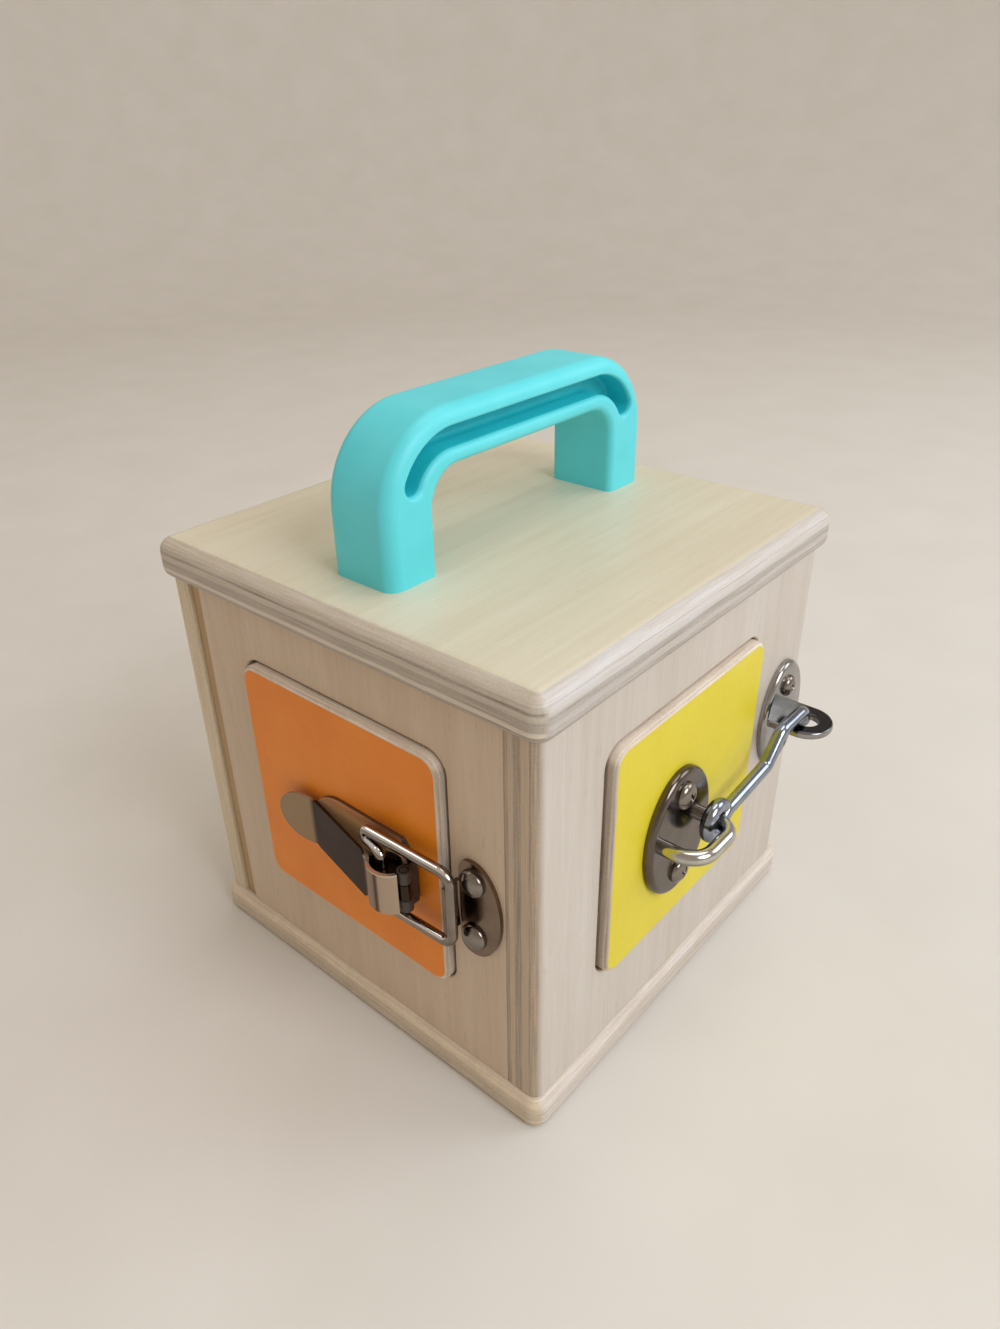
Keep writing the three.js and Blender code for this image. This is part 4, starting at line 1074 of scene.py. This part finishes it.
# Painted highlights and shade on the roll: bright and dark streaks along it, then its knuckle dark in
# shade, its rim a painted highlight and its hollow end dark in shade
retoned(leverNickel, srgb(146, 124, 103), ("place", 0, 20.2, 21.8))
retoned(leverNickel, srgb(88, 70, 56), ("place", 0, 24.9, 25.5))
retoned(leverNickel, srgb(178, 158, 138), ("place", 0, 26.0, 26.8))
retoned(leverNickel, srgb(62, 50, 42), ("place", 0, 28.2, 28.7), ("place", 2, 8.0, 7.4))
retoned(leverNickel, srgb(206, 192, 176), onRoll, onRim)
retoned(leverNickel, srgb(44, 36, 31), onRoll, inWell, ("normal", 1, 0.6, 0.9))

# Painted light and shade on the leaf: paler below its upper rim, where the lever shades it, and dark on
# that rim and at the flange; a painted highlight makes the bail bright on top
retoned(leafNickel, srgb(255, 204, 148), ("place", 1, 79.5, 77.5))
retoned(leafNickel, srgb(92, 62, 41), ("normal", 1, 0.35, 0.7))
retoned(leafNickel, srgb(66, 56, 50), ("place", 0, 25.5, 26.5))
retoned(bailNickel, srgb(250, 250, 252), ("normal", 1, 0.45, 0.7), ("normal", 2, 0.1, 0.35))
stand(latchBasePlate(), "latch_base", leafNickel)
stand(latchLeverSheet(), "latch_lever", leverNickel)
stand(latchBailWire(), "latch_bail", bailNickel)
# The leaf's rivets and pivot pin share its painted orange reflection
for node in ("latch_rivet_inner", "latch_rivet_outer", "latch_pivot_pin"):
    coated(node, leafNickel)

# Keeper that the bail pulls against, on the plane of the front wall
catch = {
    "lip": (42.1, 43.3), "lipTop": 6.3, "lipWidth": 15.0, "lipBends": (0, 1.6, 0, 0, 0.7, 0), "sheet": 1.2,
    "width": 14.7, "height": 30.5, "flat": 21.4, "round": 9.2, "roundSteps": 14, "up": 68.6, "ease": 0.2,
    "rivetRadius": 3.9, "rivetHeight": 2.2,
}
wallFace = nodeBox("front_panel", "front")[1].z


def quadCurve(start, pull, end, steps=8):
    points = []
    for i in range(steps + 1):
        t = i / steps
        shares = ((1 - t) ** 2, 2 * t * (1 - t), t * t)
        points.append(tuple(sum(s * v for s, v in zip(shares, values)) for values in zip(start, pull, end)))
    return points


def keeperPlate():
    flat = catch["flat"] / 2
    half = catch["height"] / 2
    left, inner = catch["lip"]
    roundX = left + catch["width"] - catch["round"]
    quarter = arcPoints((0, 0), 1, 0, 90, catch["roundSteps"])
    upper = [(roundX + catch["round"] * x, half * y) for x, y in quarter]
    upper += quadCurve((roundX, half), (inner, half), (inner, flat))[1:]
    lower = [(x, -y) for x, y in reversed(upper[1:])]
    outline = [(x, catch["up"] + y) for x, y in upper + lower]
    keeper = asPiece("keeperPlate", barOut(outline, 0, catch["sheet"]), facing("front", wallFace))
    lip = filleted(
        [(roundX, 0), (left, 0), (left, catch["lipTop"]),
         (inner, catch["lipTop"]), (inner, catch["sheet"]), (roundX, catch["sheet"])],
        catch["lipBends"],
    )
    joinedTo(keeper, barUp(lip, catch["up"] - catch["lipWidth"] / 2, catch["up"] + catch["lipWidth"] / 2))
    eased(keeper, catch["ease"])
    smoothed(keeper)
    return keeper


stand(keeperPlate(), "keeper", keeperNickel)
for node, name in (("keeper_rivet_top", "upperKeeperRivet"), ("keeper_rivet_bottom", "lowerKeeperRivet")):
    seat = headPlace(node, "front", wallFace + catch["sheet"])
    stand(domedHead(name, catch["rivetRadius"], catch["rivetHeight"], seat), node, rivetNickel)

# Hook plate with its staple and hook; across is along Y here and out is along X
hookSet = {
    "plate": {
        "middle": (-10.5, 69.0), "width": 31.0, "height": 41.0, "thickness": 2.6,
        "edge": 1.7, "backEdge": 0.2, "sharp": 60,
    },
    "screw": {"radius": 4.0, "height": 2.4, "recess": {"reach": 2.0, "width": 0.9, "depth": 1.2}},
    "staple": {
        "wire": 2.2, "near": -20.0, "far": -1.0, "up": 70.0, "reach": 83.6,
        "radii": (7.0, 5.0), "stepAngle": 7,
    },
    "hook": {
        "wire": 2.1, "out": 77.5, "ring": 4.6, "ringFrom": 36, "ringTo": 330, "ringSteps": 40, "neckSteps": 8,
        "bend": (28.1, 72.1), "crest": (36.1, 80.3), "tip": (51.6, 74.45),
        "radii": (4.0, 4.0, 3.5), "stepAngle": 8,
    },
}
rightPlane = facing("right", 0)
plateShape = hookSet["plate"]
plateFace = nodeBox("yellow_door", "right")[1].z + plateShape["thickness"]
plateOval = oval(plateShape["middle"], plateShape["width"], plateShape["height"])
hookPlate = asPiece(
    "hookOvalPlate", plate(plateOval, plateShape["thickness"], plateShape["edge"], plateShape["backEdge"]),
    facing("right", plateFace),
)
smoothed(hookPlate, plateShape["sharp"])
stand(hookPlate, "hook_plate", darkNickel)
screwsOn(
    plateFace, hookSet["screw"],
    ("hook_screw_top", "upperHookScrew", 24), ("hook_screw_bottom", "lowerHookScrew", 61),
)

bow = hookSet["staple"]
root = nodeBox("hook_staple", "right")[0].z
staplePath = filleted(
    [(bow["near"], bow["up"], root), (bow["near"], bow["up"], bow["reach"]),
     (bow["far"], bow["up"], bow["reach"]), (bow["far"], bow["up"], root)],
    [0, *bow["radii"], 0], bow["stepAngle"],
)
stand(bentWire("stapleWire", staplePath, bow["wire"], rightPlane), "hook_staple", wireNickel)

# The hook's ring runs round the staple's outer leg and leaves it in an easy bend
swing = hookSet["hook"]
eyeTurns = arcPoints(
    (bow["far"], bow["up"]), swing["ring"], swing["ringFrom"], swing["ringTo"], swing["ringSteps"],
)
leave = math.radians(swing["ringTo"] - 270)
neckBend = []
for i in range(1, swing["neckSteps"] + 1):
    turn = leave * (1 - i / swing["neckSteps"])
    neckBend.append((
        eyeTurns[-1][0] + swing["ring"] * (math.sin(leave) - math.sin(turn)),
        eyeTurns[-1][1] + swing["ring"] * (math.cos(turn) - math.cos(leave)),
    ))
shank = filleted(
    [neckBend[-1], swing["bend"], swing["crest"], (swing["tip"][0], swing["crest"][1]), swing["tip"]],
    [0, *swing["radii"], 0], swing["stepAngle"],
)
hookPath = [(p[0], p[1], swing["out"]) for p in eyeTurns + neckBend + shank[1:]]
stand(bentWire("hookWire", hookPath, swing["wire"], rightPlane, domedEnd=True), "hook", hookNickel)

# Eye plate with its drilled tab
eye = {
    "middle": (54.0, 74.4), "width": 24.5, "height": 37.0, "thickness": 2.5, "edge": 1.6, "backEdge": 0.2,
    "tabMiddle": (78.5, 51.3), "tabRadius": 8.2, "tabTop": 77.25, "tabThickness": 2.5, "tabEdge": 0.9,
    "tabRoot": 1.5, "tabSteps": 28, "hole": 3.7, "holeMiddle": (78.7, 51.3), "holeRim": 0.6, "sharp": 50,
    "screw": {"radius": 3.4, "height": 2.0, "recess": {"reach": 1.7, "width": 0.8, "depth": 1.1}},
}
eyeFace = nodeBox("right_panel", "right")[1].z + eye["thickness"]


def tabOutline(inset):
    x, y = eye["tabMiddle"]
    radius = eye["tabRadius"] - inset
    root = eyeFace - eye["tabRoot"]
    end = arcPoints((x, y), radius, -90, 90, eye["tabSteps"])
    return end + [(root, y + radius), (root, y - radius)]


eyeOval = oval(eye["middle"], eye["width"], eye["height"])
eyePlate = asPiece(
    "eyeOvalPlate", plate(eyeOval, eye["thickness"], eye["edge"], eye["backEdge"]), facing("right", eyeFace),
)
tabPlane = facing("top", eye["tabTop"])
tab = asPiece("eyeTab", plate(tabOutline, eye["tabThickness"], eye["tabEdge"], eye["tabEdge"]), tabPlane)
tabHole = oval(eye["holeMiddle"], 2 * eye["hole"], 2 * eye["hole"])
cutBy(tab, holeCutter(tabHole, eye["tabThickness"], eye["holeRim"], eye["holeRim"]))
combined(eyePlate, tab, "UNION")
smoothed(eyePlate, eye["sharp"])

# Painted dark reflection: the tab is darker on top
retoned(paleNickel, srgb(66, 68, 74), ("place", 2, 3.0, 6.5), ("normal", 1, 0.5, 0.9))
stand(eyePlate, "eye_plate", paleNickel)
screwsOn(
    eyeFace, eye["screw"],
    ("eye_screw_top", "upperEyeScrew", 40), ("eye_screw_bottom", "lowerEyeScrew", 8),
)

# Other pins and screws are mostly out of sight and keep their solids
for node, slot in slotOf.items():
    if slot == "steel" and node != "latch_pivot_pin":
        coated(node, plainSteel)

# Stage: a pale floor that sweeps up into a wall all round
stageShape = {
    "middle": 0.02, "flat": 1.1, "sweep": 0.7, "wall": 1.1, "steps": 16, "around": 96,
    "light": srgb(226, 222, 216), "deep": srgb(222, 218, 211), "roughness": 0.85,
    "cloud": ((0.02, 0.02, 0.02), 3), "cloudSpan": (0.3, 0.7),
}
flat = stageShape["flat"]
sweep = stageShape["sweep"]
sweepRow = [(stageShape["middle"], 0.0), (flat, 0.0)]
for i in range(1, stageShape["steps"] + 1):
    turn = math.pi / 2 * i / stageShape["steps"]
    sweepRow.append((flat + sweep * math.sin(turn), sweep * (1 - math.cos(turn))))
sweepRow.append((flat + sweep, stageShape["wall"]))
floorRound = circlePoints((0, 0), 1, stageShape["around"])
bm = bmesh.new()
rows = [[bm.verts.new((r * x, r * y, z)) for x, y in floorRound] for r, z in sweepRow]
bm.faces.new(rows[0])
for lower, upper in zip(rows, rows[1:]):
    for i in range(len(lower)):
        bm.faces.new((lower[i - 1], lower[i], upper[i], upper[i - 1]))
bmesh.ops.recalc_face_normals(bm, faces=bm.faces)
floorMesh = bpy.data.meshes.new("studioFloor")
bm.to_mesh(floorMesh)
bm.free()
floorMesh.shade_smooth()
studioFloor = bpy.data.objects.new("studioFloor", floorMesh)
scene.collection.objects.link(studioFloor)
floorPaint, floorTree, floorShader = newFinish("floorPaint")
floorCloud = noise(floorTree, ownCoords(floorTree, (0, 0, 0))[0], *stageShape["cloud"])
floorShare = ranged(floorTree, floorCloud, *stageShape["cloudSpan"])
floorTone = mixed(floorTree, floorShare, stageShape["light"], stageShape["deep"])
floorTree.links.new(floorTone, floorShader.inputs["Base Color"])
floorShader.inputs["Roughness"].default_value = stageShape["roughness"]
floorMesh.materials.append(floorPaint)
print("stage ready")

# Light: a broad cool key from the right, a weaker one behind it, a soft top light, a small one for glints
# and a warm sky
lamps = {
    "keyLamp": {"at": (1.15, -0.1, 0.95), "size": 0.8, "power": 9.6, "tint": (0.88, 0.94, 1.0)},
    "backLamp": {"at": (0.85, 0.95, 0.85), "size": 0.8, "power": 4.6, "tint": (0.84, 0.92, 1.0)},
    "topLamp": {"at": (0.1, 0.3, 1.5), "size": 0.9, "power": 4.6, "tint": (1.0, 1.0, 0.97)},
    "glintLamp": {"at": (-0.92, -0.48, 1.3), "size": 0.5, "power": 0.9, "tint": (0.95, 0.98, 1.0)},
}
softSky = {"tint": (1.0, 0.83, 0.66, 1), "strength": 0.42}
aim = Vector((0, 0, 0.08))
for name, lamp in lamps.items():
    light = bpy.data.lights.new(name, "AREA")
    light.shape = "DISK"
    light.size = lamp["size"]
    light.energy = lamp["power"]
    light.color = lamp["tint"]
    rig = bpy.data.objects.new(name, light)
    scene.collection.objects.link(rig)
    rig.location = lamp["at"]
    rig.rotation_mode = "QUATERNION"
    rig.rotation_quaternion = (aim - Vector(lamp["at"])).to_track_quat("-Z", "Y")

world = bpy.data.worlds.new("softSky")
scene.world = world
world.use_nodes = True
sky = world.node_tree.nodes["Background"]
sky.inputs["Color"].default_value = softSky["tint"]
sky.inputs["Strength"].default_value = softSky["strength"]

# Camera at the photograph's place: focal length in pixels of a frame 1000 wide
shot = {
    "at": (170.95, -198.83, 243.63), "yaw": 40.93, "pitch": 30.18, "roll": 0.98,
    "focal": 970.84, "frame": 1000, "sensor": 36, "nearest": 0.01,
}
yaw, pitch, roll = (math.radians(shot[turn]) for turn in ("yaw", "pitch", "roll"))
ahead = Vector((-math.sin(yaw) * math.cos(pitch), math.cos(yaw) * math.cos(pitch), -math.sin(pitch)))
level = Vector((math.cos(yaw), math.sin(yaw), 0))
down = ahead.cross(level)
across = math.cos(roll) * level + math.sin(roll) * down
below = math.cos(roll) * down - math.sin(roll) * level
lens = bpy.data.cameras.new("photoCamera")
lens.sensor_fit = "HORIZONTAL"
lens.sensor_width = shot["sensor"]
lens.lens = shot["focal"] * lens.sensor_width / shot["frame"]
lens.clip_start = shot["nearest"]
camera = bpy.data.objects.new("photoCamera", lens)
scene.collection.objects.link(camera)
place = Matrix((across, -below, -ahead)).transposed().to_4x4()
place.translation = Vector(shot["at"]) * mm
camera.matrix_world = place
scene.camera = camera

print("scene ready")
